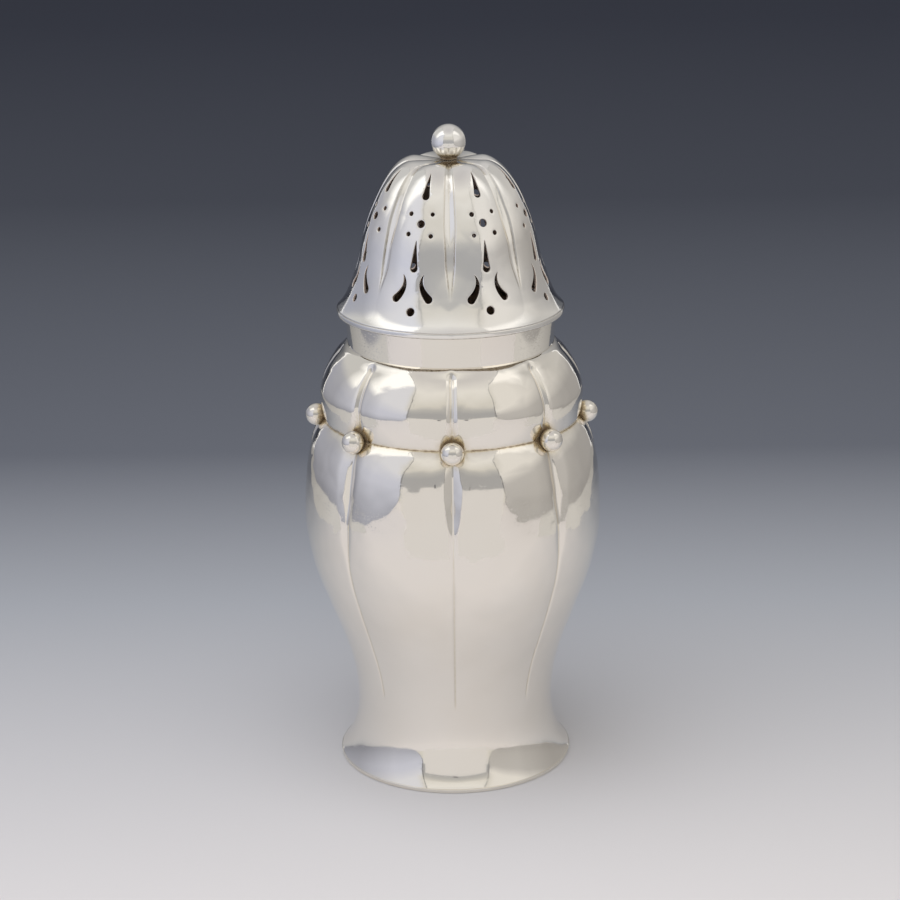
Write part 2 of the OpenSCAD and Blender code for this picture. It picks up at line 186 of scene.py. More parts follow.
class CasterStudio(bpy.types.PropertyGroup):
    """Colours of the floor, the light screens, the cards and the room."""

    floor_near: colour("Near floor", "Floor in front of the caster", (0.67, 0.65, 0.655))
    floor_mid: colour("Middle floor", "Floor just behind the caster", (0.36, 0.375, 0.41))
    floor_slate: colour("Slate floor", "Floor well behind the caster", (0.135, 0.145, 0.172))
    floor_dark: colour("Dark floor", "Floor further behind the caster", (0.064, 0.070, 0.089))
    floor_far: colour("Far floor", "Floor far behind the caster", (0.047, 0.052, 0.071))
    shade_left: colour("Left screen", "Lower part of the left screen", (0.565, 0.585, 0.69))
    shade_right: colour("Right screen", "Lower part of the right screen", (0.49, 0.476, 0.47))
    mid_left: colour("Left middle", "Middle of the left screen", (0.70, 0.71, 0.77))
    mid_right: colour("Right middle", "Middle of the right screen", (0.76, 0.74, 0.715))
    glow_left: colour("Left light", "Bright top of the left screen", (1.14, 1.14, 1.14))
    glow_right: colour("Right light", "Bright top of the right screen", (1.02, 1.0, 0.975))
    screen_edge: colour("Screen edge", "Bright rear edge of the screens", (0.95, 0.95, 0.96))
    near_card: colour("Near card", "Raised edge of the paper in front", (0.692, 0.672, 0.668))
    front_card: colour("Front card", "Pale card below the camera", (0.70, 0.68, 0.665))
    front_shade: colour("Front shade", "Shaded band above that card", (0.395, 0.395, 0.405))
    front_gap: colour("Front gap", "Dark gap beside the front card", (0.17, 0.17, 0.18))
    room: colour("Room", "Walls before the caster", (0.66, 0.64, 0.60))
    upper: colour("Upper walls", "Upper walls before the caster", (0.79, 0.775, 0.75))
    ceiling: colour("Ceiling", "Ceiling over the caster", (0.57, 0.555, 0.56))
    side_left: colour("Left paper", "Paper beside the left screen", (0.57, 0.565, 0.57))
    side_right: colour("Right paper", "Paper beside the right screen", (0.60, 0.585, 0.57))
    back_low: colour("Back wall", "Lower room behind the backdrop", (0.12, 0.125, 0.14))
    back_mid: colour("Back rise", "Room just above the backdrop", (0.35, 0.35, 0.355))
    back_high: colour("Back ceiling", "Upper room behind the backdrop", (0.58, 0.57, 0.57))


def sizes_of(context):
    """The body's, the lid's, the finish's and the studio's settings."""
    scene = context.scene
    return scene.caster_body, scene.caster_lid, scene.caster_finish, scene.caster_studio


# Curves and meshes

FACET_PART, SWELL_PART, RIPPLE_PART = 0.9, 1.0, 0.15
SWELL_PITCH, RIPPLE_PITCH = 1.7, 0.6
RIPPLE_SHIFT = Vector((7.3, 1.9, 4.1))
ROUND_SHARE, ROUND_STEPS, SUPPORT_SHARE = 0.3, 4, 1.5
RING_COUNT = 256


def around(r, angle, z):
    """Point at a radius from the caster's axis, an angle about it and a height."""
    return r * math.cos(angle), r * math.sin(angle), z


def bezier(points, t):
    """Point of a cubic curve at t."""
    a, b, c, d = (Vector(p) for p in points)
    s = 1 - t
    return s ** 3 * a + 3 * t * s * s * b + 3 * t * t * s * c + t ** 3 * d


def meridian(curves, steps):
    """Points of radius and height through a chain of curves."""
    line = [bezier(curve, i / count) for curve, count in zip(curves, steps) for i in range(count)]
    return np.array([tuple(p) for p in line] + [tuple(curves[-1][3])])


def outward(line):
    """Outward normal at each point of a meridian that runs up the outside."""
    ahead = np.vstack([line[1:], line[-1:]])
    behind = np.vstack([line[:1], line[:-1]])
    step = ahead - behind
    step /= np.linalg.norm(step, axis=1)[:, None]
    return np.stack([step[:, 1], -step[:, 0]], axis=1)


def eased(height, knots):
    """Value at a height between knots of height and value, easing at each knot."""
    heights = [k[0] for k in knots]
    values = [k[1] for k in knots]
    if height <= heights[0]:
        return values[0]
    if height >= heights[-1]:
        return values[-1]
    i = max(n for n in range(len(knots)) if heights[n] <= height)
    t = (height - heights[i]) / (heights[i + 1] - heights[i])
    return values[i] + (values[i + 1] - values[i]) * t * t * (3 - 2 * t)


def crowded(s, crowding):
    """Place across a lobe, drawn towards its creases."""
    return s - crowding * math.sin(math.tau * s) / math.tau


def bell(distance, width):
    """Soft mask that falls from one to nothing with distance."""
    return math.exp(-(distance / width) ** 2)


def stain_at(distance, strength, width):
    """Tarnish at a distance from the line where it is strongest."""
    return strength * bell(distance, width)


def hammer_marks(point, pitch):
    """Depth from 0 to about 1 of the planishing at a point: overlapping facets on a slow swell."""
    facets = noise.voronoi(point / pitch)[0][0]
    swell = noise.noise(point / (SWELL_PITCH * pitch))
    ripple = noise.noise(point / (RIPPLE_PITCH * pitch) + RIPPLE_SHIFT)
    return (FACET_PART * facets * facets + SWELL_PART * (swell + 0.5)
            + RIPPLE_PART * (ripple + 0.5))


def loft(rings):
    """Vertices and faces of a closed skin through rings that run up the outside and down the
    inside."""
    count = len(rings[0])
    verts = [p for ring in rings for p in ring]
    faces = []
    for i in range(len(rings)):
        up = (i + 1) % len(rings)
        for j in range(count):
            on = (j + 1) % count
            faces.append((i * count + j, i * count + on, up * count + on, up * count + j))
    return verts, faces


def softened(corners, fillet):
    """A closed section with its corners rounded, and a support point beside each round."""
    made = []
    n = len(corners)
    for i in range(n):
        before, corner, after = (Vector(corners[k]) for k in (i - 1, i, (i + 1) % n))
        back, ahead = before - corner, after - corner
        reach = min(fillet, ROUND_SHARE * back.length, ROUND_SHARE * ahead.length)
        back.normalize()
        ahead.normalize()
        a, b = corner + back * reach, corner + ahead * reach
        made.append(tuple(corner + back * reach * SUPPORT_SHARE))
        for k in range(ROUND_STEPS + 1):
            t = k / ROUND_STEPS
            made.append(tuple((1 - t) ** 2 * a + 2 * t * (1 - t) * corner + t * t * b))
        made.append(tuple(corner + ahead * reach * SUPPORT_SHARE))
    return made


def turned_ring(section, count):
    """Vertices and faces of a closed section, given counter-clockwise, turned about the axis."""
    angles = [math.tau * k / count for k in range(count)]
    return loft([[around(r, a, z) for a in angles] for r, z in section])


def turned_solid(profile, count):
    """Vertices and faces of a profile turned about the axis, from a point on it to a point on
    it, running up the outside."""
    inner = profile[1:-1]
    verts = [(0.0, 0.0, profile[0][1]), (0.0, 0.0, profile[-1][1])]
    for r, z in inner:
        verts += [around(r, math.tau * k / count, z) for k in range(count)]
    faces = []
    last = 2 + (len(inner) - 1) * count
    for k in range(count):
        on = (k + 1) % count
        faces.append((0, 2 + on, 2 + k))
        faces.append((1, last + k, last + on))
        for i in range(len(inner) - 1):
            low, up = 2 + i * count, 2 + (i + 1) * count
            faces.append((low + k, low + on, up + on, up + k))
    return verts, faces


def add_piece(name, verts, faces, body, nodes, materials, tarnish=None, inside=None,
              sharp=()):
    """Makes a smooth-shaded piece that rides on a body and stands for CAD nodes. tarnish is a
    value for each vertex, and on the lid's rim band it also paints a shadow line; inside marks
    faces with the second material, and sharp holds sets of vertices whose edges stay crisp."""
    mesh = bpy.data.meshes.new(name)
    mesh.from_pydata([tuple(v) for v in verts], [], faces)
    for material in materials:
        mesh.materials.append(material)
    mesh.polygons.foreach_set("use_smooth", [True] * len(mesh.polygons))
    if inside is not None:
        mesh.polygons.foreach_set("material_index", [int(flag) for flag in inside])
    layer = mesh.attributes.new("tarnish", "FLOAT", "POINT")
    values = [0.0] * len(mesh.vertices) if tarnish is None else [float(v) for v in tarnish]
    layer.data.foreach_set("value", values)
    if sharp:
        crisp = mesh.attributes.new("sharp_edge", "BOOLEAN", "EDGE")
        flags = [any(e.vertices[0] in loop and e.vertices[1] in loop for loop in sharp)
                 for e in mesh.edges]
        crisp.data.foreach_set("value", flags)
    mesh.update()
    mesh.validate()
    piece = bpy.data.objects.new(name, mesh)
    bpy.context.scene.collection.objects.link(piece)
    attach(piece, body)
    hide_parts(*nodes)
    return piece


def ring_piece(name, corners, fillet, body, node, material, stain=None):
    """A turned band from the corners of its section; stain gives its tarnish at a height, and on
    the lid's rim band it also paints a shadow line.
    """
    verts, faces = turned_ring(softened(corners, fillet), RING_COUNT)
    tarnish = [stain(v[2]) for v in verts] if stain else None
    return add_piece(name, verts, faces, body, [node], [material], tarnish)


# Nodes

MIX_FACTOR, MIX_FIRST, MIX_SECOND, MIX_RESULT = 0, 6, 7, 2


def group_of(name, inputs, outputs):
    """A new shader node group with named sockets, and its input and output nodes."""
    group = bpy.data.node_groups.new(name, "ShaderNodeTree")
    for label, kind, default in inputs:
        socket = group.interface.new_socket(name=label, in_out="INPUT", socket_type=kind)
        socket.default_value = default
    for label, kind in outputs:
        group.interface.new_socket(name=label, in_out="OUTPUT", socket_type=kind)
    return group, group.nodes.new("NodeGroupInput"), group.nodes.new("NodeGroupOutput")


def plain_material(name):
    """An empty node material, its tree and its output."""
    made = bpy.data.materials.new(name)
    made.use_nodes = True
    made.node_tree.nodes.clear()
    return made, made.node_tree, made.node_tree.nodes.new("ShaderNodeOutputMaterial")


def node_of(tree, kind, settings=None, values=None):
    """A new node with its settings and socket values."""
    made = tree.nodes.new(kind)
    for key, value in (settings or {}).items():
        setattr(made, key, value)
    for key, value in (values or {}).items():
        made.inputs[key].default_value = value
    return made


def feed(tree, value, socket):
    """Gives a socket its value: another socket, a number or a colour."""
    if isinstance(value, bpy.types.NodeSocket):
        tree.links.new(value, socket)
    else:
        socket.default_value = value


def place_of(tree, kind="Object"):
    """X, Y and Z of a place on a surface, or of a direction in the room."""
    split = node_of(tree, "ShaderNodeSeparateXYZ")
    tree.links.new(node_of(tree, "ShaderNodeTexCoord").outputs[kind], split.inputs[0])
    return split.outputs


def noise_of(tree, place, scale, detail):
    """A noise texture read at a place; scale is a socket or a number."""
    made = node_of(tree, "ShaderNodeTexNoise", values={"Detail": detail})
    tree.links.new(place, made.inputs["Vector"])
    feed(tree, scale, made.inputs["Scale"])
    return made.outputs["Fac"]


def maths(tree, operation, first, second):
    """A math node on two sockets or numbers."""
    made = node_of(tree, "ShaderNodeMath", {"operation": operation})
    feed(tree, first, made.inputs[0])
    feed(tree, second, made.inputs[1])
    return made.outputs[0]


def spread(tree, value, span, onto=(0.0, 1.0)):
    """A value mapped from one span onto another and kept inside it."""
    made = node_of(tree, "ShaderNodeMapRange",
                   values={"From Min": span[0], "From Max": span[1],
                           "To Min": onto[0], "To Max": onto[1]})
    tree.links.new(value, made.inputs["Value"])
    return made.outputs["Result"]


def mixed(tree, factor, first, second):
    """A blend of two colours, each a socket or a colour, by a factor."""
    made = node_of(tree, "ShaderNodeMix", {"data_type": "RGBA"})
    feed(tree, factor, made.inputs[MIX_FACTOR])
    feed(tree, first, made.inputs[MIX_FIRST])
    feed(tree, second, made.inputs[MIX_SECOND])
    return made.outputs[MIX_RESULT]


def graded(tree, value, tones):
    """A colour that runs through tones as a value passes their places."""
    start, end = tones[0][0], tones[-1][0]
    ramp = node_of(tree, "ShaderNodeValToRGB")
    stops = ramp.color_ramp.elements
    while len(stops) < len(tones):
        stops.new(0.5)
    for stop, (at, tone) in zip(stops, tones):
        stop.position = (at - start) / (end - start)
        stop.color = (*tone, 1.0)
    tree.links.new(spread(tree, value, (start, end)), ramp.inputs["Fac"])
    return ramp.outputs["Color"]


# Silver

SCRATCH_SCALE, SCRATCH_DETAIL = 2600.0, 3.0
SCRATCH_TURN, SCRATCH_STRETCH = (0.5, 0.35, 0.6), (1.0, 0.08, 1.0)
SCRATCH_SPAN, SCRATCH_ROUGHNESS = (0.60, 0.75), 0.025
SCRATCH_HEIGHT = 0.0002
CLOUD_SCALE, CLOUD_DETAIL = 85.0, 4.0
CLOUD_SPAN, CLOUD_DULLING = (0.35, 0.7), (0.75, 1.5)
GRIME_SCALE, GRIME_DETAIL = 900.0, 3.0
GRIME_SPAN, GRIME_PATCHES = (0.3, 0.7), (0.55, 1.25)
BLOOM_SCALE, BLOOM_DETAIL = 38.0, 2.0
BLOOM_SPAN, BLOOM_PART = (0.45, 0.75), (0.0, 0.45)
BLOOM_SILVER = (0.90, 0.84, 0.74, 1.0)
THIN_SPAN, THICK_SPAN = (0.0, 0.5), (0.4, 0.9)
DULL_SPAN, DULL_METAL = (0.35, 0.9), (1.0, 0.3)
STAIN_ROUGHNESS = 0.22


def polish_group():
    """Handling marks: hairline scratches as a height, and cloudy roughness."""
    group, put, out = group_of(
        "Polish marks",
        [("Place", "NodeSocketVector", (0.0, 0.0, 0.0)), ("Polish", "NodeSocketFloat", 0.06),
         ("Scratch Scale", "NodeSocketFloat", SCRATCH_SCALE)],
        [("Height", "NodeSocketFloat"), ("Roughness", "NodeSocketFloat")])
    place = put.outputs["Place"]
    stretch = node_of(group, "ShaderNodeMapping",
                      values={"Rotation": SCRATCH_TURN, "Scale": SCRATCH_STRETCH})
    group.links.new(place, stretch.inputs["Vector"])
    scratches = noise_of(group, stretch.outputs["Vector"], put.outputs["Scratch Scale"],
                         SCRATCH_DETAIL)
    hairs = spread(group, scratches, SCRATCH_SPAN)
    clouds = noise_of(group, place, CLOUD_SCALE, CLOUD_DETAIL)
    cloudy = spread(group, clouds, CLOUD_SPAN, CLOUD_DULLING)
    rough = maths(group, "MULTIPLY", put.outputs["Polish"], cloudy)
    rough = maths(group, "ADD", rough, maths(group, "MULTIPLY", hairs, SCRATCH_ROUGHNESS))
    group.links.new(hairs, out.inputs["Height"])
    group.links.new(rough, out.inputs["Roughness"])
    return group


def tarnish_group():
    """Tarnish that gathers where a mask says, broken up by grime, on silver with a faint bloom."""
    group, put, out = group_of(
        "Tarnish",
        [("Place", "NodeSocketVector", (0.0, 0.0, 0.0)), ("Mask", "NodeSocketFloat", 0.0),
         ("Strength", "NodeSocketFloat", 1.0),
         ("Silver", "NodeSocketColor", (1.0, 1.0, 1.0, 1.0)),
         ("Gold", "NodeSocketColor", (0.5, 0.5, 0.5, 1.0)),
         ("Brown", "NodeSocketColor", (0.0, 0.0, 0.0, 1.0))],
        [("Color", "NodeSocketColor"), ("Roughness", "NodeSocketFloat"),
         ("Metallic", "NodeSocketFloat")])
    place = put.outputs["Place"]
    grime = noise_of(group, place, GRIME_SCALE, GRIME_DETAIL)
    broken = spread(group, grime, GRIME_SPAN, GRIME_PATCHES)
    mask = maths(group, "MULTIPLY", put.outputs["Mask"], broken)
    mask = maths(group, "MULTIPLY", mask, put.outputs["Strength"])
    mask = spread(group, mask, (0.0, 1.0))
    bloom = noise_of(group, place, BLOOM_SCALE, BLOOM_DETAIL)
    tint = mixed(group, spread(group, bloom, BLOOM_SPAN, BLOOM_PART), put.outputs["Silver"],
                 BLOOM_SILVER)
    tint = mixed(group, spread(group, mask, THIN_SPAN), tint, put.outputs["Gold"])
    tint = mixed(group, spread(group, mask, THICK_SPAN), tint, put.outputs["Brown"])
    group.links.new(tint, out.inputs["Color"])
    group.links.new(maths(group, "MULTIPLY", mask, STAIN_ROUGHNESS), out.inputs["Roughness"])
    group.links.new(spread(group, mask, DULL_SPAN, DULL_METAL), out.inputs["Metallic"])
    return group


def groups():
    """The shared node groups, made once."""
    found = bpy.data.node_groups
    polish = found.get("Polish marks") or polish_group()
    tarnish = found.get("Tarnish") or tarnish_group()
    return polish, tarnish


def silver_finish(name, finish, polish_times=1.0, scratch_depth=0.04, tint=None, stains=None):
    """Polished or dull silver with handling marks and tarnish, whose thin and thick colours are
    stains; made once for each name. On the lid the tarnish mask also paints the shadow under the
    rim band."""
    found = bpy.data.materials.get(name)
    if found:
        return found
    polish, tarnish = groups()
    thin, thick = stains or (finish.gilding, finish.tarnish)
    made, tree, output = plain_material(name)
    metal = node_of(tree, "ShaderNodeBsdfPrincipled")
    place = node_of(tree, "ShaderNodeTexCoord").outputs["Object"]
    mask = node_of(tree, "ShaderNodeAttribute", {"attribute_name": "tarnish"})
    marks = node_of(tree, "ShaderNodeGroup", {"node_tree": polish},
                    {"Polish": finish.polish * polish_times})
    brown = node_of(tree, "ShaderNodeGroup", {"node_tree": tarnish},
                    {"Strength": finish.tarnish_strength,
                     "Silver": (*(tint or finish.silver), 1.0),
                     "Gold": (*thin, 1.0), "Brown": (*thick, 1.0)})
    bump = node_of(tree, "ShaderNodeBump",
                   values={"Strength": scratch_depth, "Distance": SCRATCH_HEIGHT})
    rough = maths(tree, "ADD", marks.outputs["Roughness"], brown.outputs["Roughness"])
    for source, target in (
            (place, marks.inputs["Place"]), (place, brown.inputs["Place"]),
            (mask.outputs["Fac"], brown.inputs["Mask"]),
            (brown.outputs["Color"], metal.inputs["Base Color"]),
            (rough, metal.inputs["Roughness"]),
            (brown.outputs["Metallic"], metal.inputs["Metallic"]),
            (marks.outputs["Height"], bump.inputs["Height"]),
            (bump.outputs["Normal"], metal.inputs["Normal"]),
            (metal.outputs["BSDF"], output.inputs["Surface"])):
        tree.links.new(source, target)
    return made


def inside_finish(name, finish):
    """Unpolished silver inside the body or the lid."""
    return silver_finish(name, finish, polish_times=6.0, scratch_depth=0.1, tint=finish.inside,
                         stains=(finish.inside, finish.inside))


def lid_finish(finish):
    """The lid's whiter and slightly softer polish, on a copy of the silver brightened to paint in
    more light; its tarnish tones also paint the shadow line under the rim band.
    """
    return silver_finish("brightened lid silver", finish, polish_times=1.6, tint=finish.lid_silver,
                         stains=(finish.lid_haze, finish.lid_grime_and_shadow))


# Body

# Handles of the body's curves, as shares of the run or the rise of each curve
FOOT_OUT, FOOT_UP, WAIST_DOWN = 0.58, 0.21, 0.43
WAIST_UP, BELLY_DOWN = 0.38, 0.39
BELLY_UP, PINCH_OUT, PINCH_DOWN = 0.7, 0.50, 0.12
TUCK_OUT, TUCK_UP, TUCK_DOWN = 0.45, 0.17, 0.37
SHOULDER_UP, NECK_OUT, NECK_DOWN = 0.32, 0.42, 0.13

# Points on each of those curves, outside and inside, and columns of points across a lobe
BODY_STEPS = [24, 62, 56, 22, 40]
INSIDE_STEPS = [8, 20, 16, 8, 10]
PINCH_RING = sum(BODY_STEPS[:3])
BODY_COLUMNS, BODY_CROWDING = 60, 0.62

# Heights and shares of the planishing, and half width of the chased lines
HAMMERED = ((18 * MM, 0.25), (45 * MM, 1.0), (NECK_Z - 1.2 * MM, 1.0), (NECK_Z, 0.0))
CHASE_W = 0.28 * MM
JOINT_GAP = 0.01 * MM

# Strength and width of the tarnish
PINCH_LINE, PINCH_HAZE = (0.9, 0.18 * MM), (0.14, 0.9 * MM)
CHASE_STAIN, CHASE_STAIN_W = 0.34, 0.2 * MM
BEAD_RING, BEAD_BLOOM = (0.95, 0.5 * MM), (0.36, 1.4 * MM)
STREAK, STREAK_W, STREAK_START = (0.9, 2.8 * MM), 1.1 * MM, 0.75
BEAD_REACH = 12 * MM
INSIDE_STAIN, LIP_STAIN = 0.95, 0.06
NECK_STAIN, FOOT_STAIN, BASE_STAIN = (0.03, 0.3 * MM), (0.15, 0.12 * MM), (0.25, 1.5 * MM)

NECK_FILLET, FOOT_FILLET = 0.3 * MM, 0.4 * MM

# Base plate: turning marks on its underside and a dent at its centre
BASE_STEPS, BASE_TOP_STEP, BASE_COUNT = 60, 6, 192
TURNING_DEPTH, TURNING_STEP = 0.03 * MM, 1.9
DENT_DEPTH, DENT_SHARE = 0.25 * MM, 0.06

# Beads: arc from the front, unevenness, and tarnish towards the body
BEAD_STEPS, BEAD_COUNT, BEAD_SWEEP = 44, 64, math.radians(150)
BEAD_LUMP, BEAD_UNEVEN, BEAD_DRIFT = 2.2 * MM, 0.008, (3.1, 1.7, 0.4)
BEAD_STAIN, BEAD_STAIN_AT, BEAD_STAIN_W = 0.8, 0.45, 0.32


def body_meridian(body, steps):
    """The body's outside from the foot over the waist, belly, pinch and shoulder to the neck."""
    foot = Vector((FOOT_R - EDGE_LAP, FOOT_TOP))
    waist = Vector((body.waist_d / 2, body.waist_z))
    belly = Vector((body.belly_d / 2, body.belly_z))
    pinch = Vector((belly.x - body.pinch_in, body.pinch_z))
    shoulder = Vector((pinch.x + body.shoulder_out, body.shoulder_z))
    neck = Vector((body.lip_r, NECK_Z))
    rise = waist - foot
    swell = belly.y - waist.y
    upper = pinch - belly
    tuck = shoulder.y - pinch.y
    close = neck.y - shoulder.y
    curves = [
        [foot, foot + Vector((FOOT_OUT * rise.x, FOOT_UP * rise.y)),
         waist - Vector((0, WAIST_DOWN * rise.y)), waist],
        [waist, waist + Vector((0, WAIST_UP * swell)),
         belly - Vector((0, BELLY_DOWN * swell)), belly],
        [belly, belly + Vector((0, BELLY_UP * upper.y)),
         pinch - Vector((PINCH_OUT * upper.x, PINCH_DOWN * upper.y)), pinch],
        [pinch, pinch + Vector((TUCK_OUT * body.shoulder_out, TUCK_UP * tuck)),
         shoulder - Vector((0, TUCK_DOWN * tuck)), shoulder],
        [shoulder, shoulder + Vector((0, SHOULDER_UP * close)),
         neck + Vector((NECK_OUT * (shoulder.x - neck.x), -NECK_DOWN * close)), neck],
    ]
    return meridian(curves, steps)


def body_knots(body):
    """Depth of the soft valleys between the lobes, then depth and half width of the creases
    along them, each as heights and values."""
    rise = body.pinch_z - body.belly_z
    low, high = body.belly_z - 10 * MM, body.belly_z + 3 * MM
    steep, deep = body.belly_z + 0.42 * rise, body.belly_z + 0.68 * rise
    valleys = ((body.waist_z + 3 * MM, 0.0), (body.belly_z, 0.9), (steep, 1.0),
               (body.pinch_z, 0.6), (body.shoulder_z, 1.0), (NECK_Z - 2 * MM, 0.8),
               (NECK_Z, 0.0))
    creases = ((body.waist_z + 6 * MM, 0.0), (low, 0.1), (high, 0.38), (steep, 0.9), (deep, 1.0),
               (body.pinch_z, 0.45), (body.shoulder_z, 0.55), (NECK_Z - 1.6 * MM, 0.5),
               (NECK_Z, 0.0))
    widths = ((low, 0.2), (high, 0.57), (steep, 0.78), (deep, 1.0), (body.pinch_z, 0.9),
              (body.shoulder_z, 0.42), (NECK_Z, 0.3))
    return [[(z, part * size) for z, part in knots]
            for knots, size in ((valleys, body.valley_depth), (creases, body.crease_depth),
                                (widths, body.crease_w))]


def body_dip(aside, across, valley, crease, width, flat):
    """Depth of a valley and its crease at a length aside of the crease; across is the length to
    the lobe's centre line."""
    groove = max(0.0, 1 - max(0.0, aside - flat) / width)
    return valley * (1 - aside / across) ** 2 + crease * groove ** 2


def bead_stain(gap, above, aside):
    """Tarnish round a bead: a thin dark ring, a golden bloom, and a streak up the crease."""
    ring = max(stain_at(gap, *BEAD_RING), stain_at(gap, *BEAD_BLOOM))
    streak = stain_at(above, *STREAK) * bell(aside, STREAK_W) if above > 0 else 0.0
    return max(ring, streak)


def body_outside(body, columns, knots):
    """Rings up the body's outside, creased, chased and planished, with their tarnish."""
    chase = ((22 * MM, 0.0), (25 * MM, 1.0), (body.belly_z - 6 * MM, 0.7),
             (body.belly_z + 3 * MM, 0.0))
    line = body_meridian(body, BODY_STEPS)
    rings, stains = [], []
    for (r, z), (nr, nz) in zip(line, outward(line)):
        dips = [eased(z, rows) for rows in knots]
        cut, worked = eased(z, chase), eased(z, HAMMERED)
        pinched = max(stain_at(z - body.pinch_z, *PINCH_LINE),
                      stain_at(z - body.pinch_z, *PINCH_HAZE))
        ring, stain = [], []
        for a, u in columns:
            aside = u * HALF_PITCH * r
            sunk = body_dip(aside, HALF_PITCH * r, *dips, body.crease_floor)
            sunk += cut * body.chase_depth * bell(aside, CHASE_W)
            p = Vector(around(r - nr * sunk, a, z - nz * sunk))
            brown = max(pinched, CHASE_STAIN * cut * bell(aside, CHASE_STAIN_W))
            if abs(z - BEAD_Z) < BEAD_REACH:
                gap = max(0.0, math.hypot(aside, p.z - BEAD_Z) - BEAD_R)
                above = p.z - BEAD_Z - STREAK_START * BEAD_R
                brown = max(brown, bead_stain(gap, above, aside))
            sunk += body.hammer_depth * worked * hammer_marks(p, body.hammer_pitch)
            ring.append(around(r - nr * sunk, a, z - nz * sunk))
            stain.append(brown)
        rings.append(ring)
        stains.append(stain)
    return rings, stains


def body_inside(body, columns, knots):
    """Rings down the body's inside from the solder joint, clear of the collar, with their
    tarnish."""
    neck_r = COLLAR_R - body.neck_lean
    lip_in = neck_r + CLEARANCE
    line = body_meridian(body, INSIDE_STEPS)
    rings, stains = [], []
    for (r, z), (nr, nz) in list(zip(line, outward(line)))[::-1]:
        dips = [eased(z, rows) for rows in knots]
        ring = []
        for a, u in columns:
            aside = u * HALF_PITCH * r
            sunk = body.wall + body_dip(aside, HALF_PITCH * r, *dips, body.crease_floor)
            ri, zi = r - nr * sunk, z - nz * sunk
            if z > COLLAR_LOW - body.wall:
                ri = max(ri, lip_in)
            ring.append(around(ri, a, min(max(zi, FOOT_TOP), NECK_Z)))
        rings.append(ring)
        stains.append([INSIDE_STAIN if z < NECK_Z - body.wall else LIP_STAIN] * len(ring))
    joint_r = neck_r + JOINT_GAP + body.neck_lean * body.lip_rise / (MOUTH_Z - NECK_Z)
    rings[0] = [around(joint_r, a, NECK_Z + body.lip_rise) for a, _ in columns]
    return rings, stains


class CASTER_OT_body(bpy.types.Operator):
    """Builds the lobed, pinched and creased body from one raised sheet"""

    bl_idname = "caster.body"
    bl_label = "Lobed body"

    def execute(self, context):
        body, _, finish, _ = sizes_of(context)
        across = [crowded(k / BODY_COLUMNS, BODY_CROWDING) for k in range(BODY_COLUMNS)]
        angles = [(lobe + s) * PITCH + FRONT for lobe in range(LOBES) for s in across]
        from_crease = [2 * abs(s - round(s)) for s in across] * LOBES
        columns = list(zip(angles, from_crease))
        knots = body_knots(body)
        rings, stains = body_outside(body, columns, knots)
        outside = len(rings)
        inner_rings, inner_stains = body_inside(body, columns, knots)
        rings += inner_rings
        stains += inner_stains
        verts, faces = loft(rings)
        count = len(columns)
        inside = [i >= outside for i in range(len(rings)) for _ in range(count)]
        edges = [set(range(i * count, (i + 1) * count))
                 for i in (0, PINCH_RING, outside - 1, outside, len(rings) - 1)]
        add_piece("lobed_body", verts, faces, "body", ["body_shell"],
                  [silver_finish("body silver", finish), inside_finish("body inside", finish)],
                  [v for stain in stains for v in stain], inside, edges)
        return {"FINISHED"}


class CASTER_OT_body_rings(bpy.types.Operator):
    """Builds the neck collar, the foot ring and the base plate"""

    bl_idname = "caster.body_rings"
    bl_label = "Neck and foot rings"

    def execute(self, context):
        body, _, finish, _ = sizes_of(context)
        silver = silver_finish("body silver", finish)
        # Rougher from wear; its darker colour is painted shade
        foot = silver_finish("shaded foot silver", finish, polish_times=1.3, scratch_depth=0.08,
                             tint=finish.foot_silver)
        bore = COLLAR_R - body.collar_wall
        tuck = body.neck_lean * (MOUTH_Z - COLLAR_LOW) / (MOUTH_Z - NECK_Z)
        ring_piece("neck_band",
                   [(bore, COLLAR_LOW), (COLLAR_R - tuck, COLLAR_LOW), (COLLAR_R, MOUTH_Z),
                    (bore, MOUTH_Z)], NECK_FILLET, "body", "neck_collar", silver,
                   lambda z: stain_at(z - NECK_Z, *NECK_STAIN))
        bore = BASE_R - body.base_ledge
        ring_piece("foot_edge",
                   [(bore, FOOT_LOW), (FOOT_R, FOOT_LOW), (FOOT_R, FOOT_TOP), (bore, FOOT_TOP)],
                   FOOT_FILLET, "body", "foot_ring", foot,
                   lambda z: stain_at(z - FOOT_TOP, *FOOT_STAIN))
        under = [(BASE_R * k / BASE_STEPS,
                  BASE_LOW + TURNING_DEPTH * (1 - math.cos(k * TURNING_STEP)) / 2
                  + DENT_DEPTH * bell(k / BASE_STEPS, DENT_SHARE)) for k in range(BASE_STEPS + 1)]
        top = [(BASE_R * k / BASE_STEPS, BASE_TOP)
               for k in range(BASE_STEPS, -1, -BASE_TOP_STEP)]
        verts, faces = turned_solid(under + top, BASE_COUNT)
        stain = [stain_at(math.hypot(v[0], v[1]) - BASE_R, *BASE_STAIN) for v in verts]
        add_piece("base_disc", verts, faces, "body", ["base_plate"], [foot], stain)
        return {"FINISHED"}


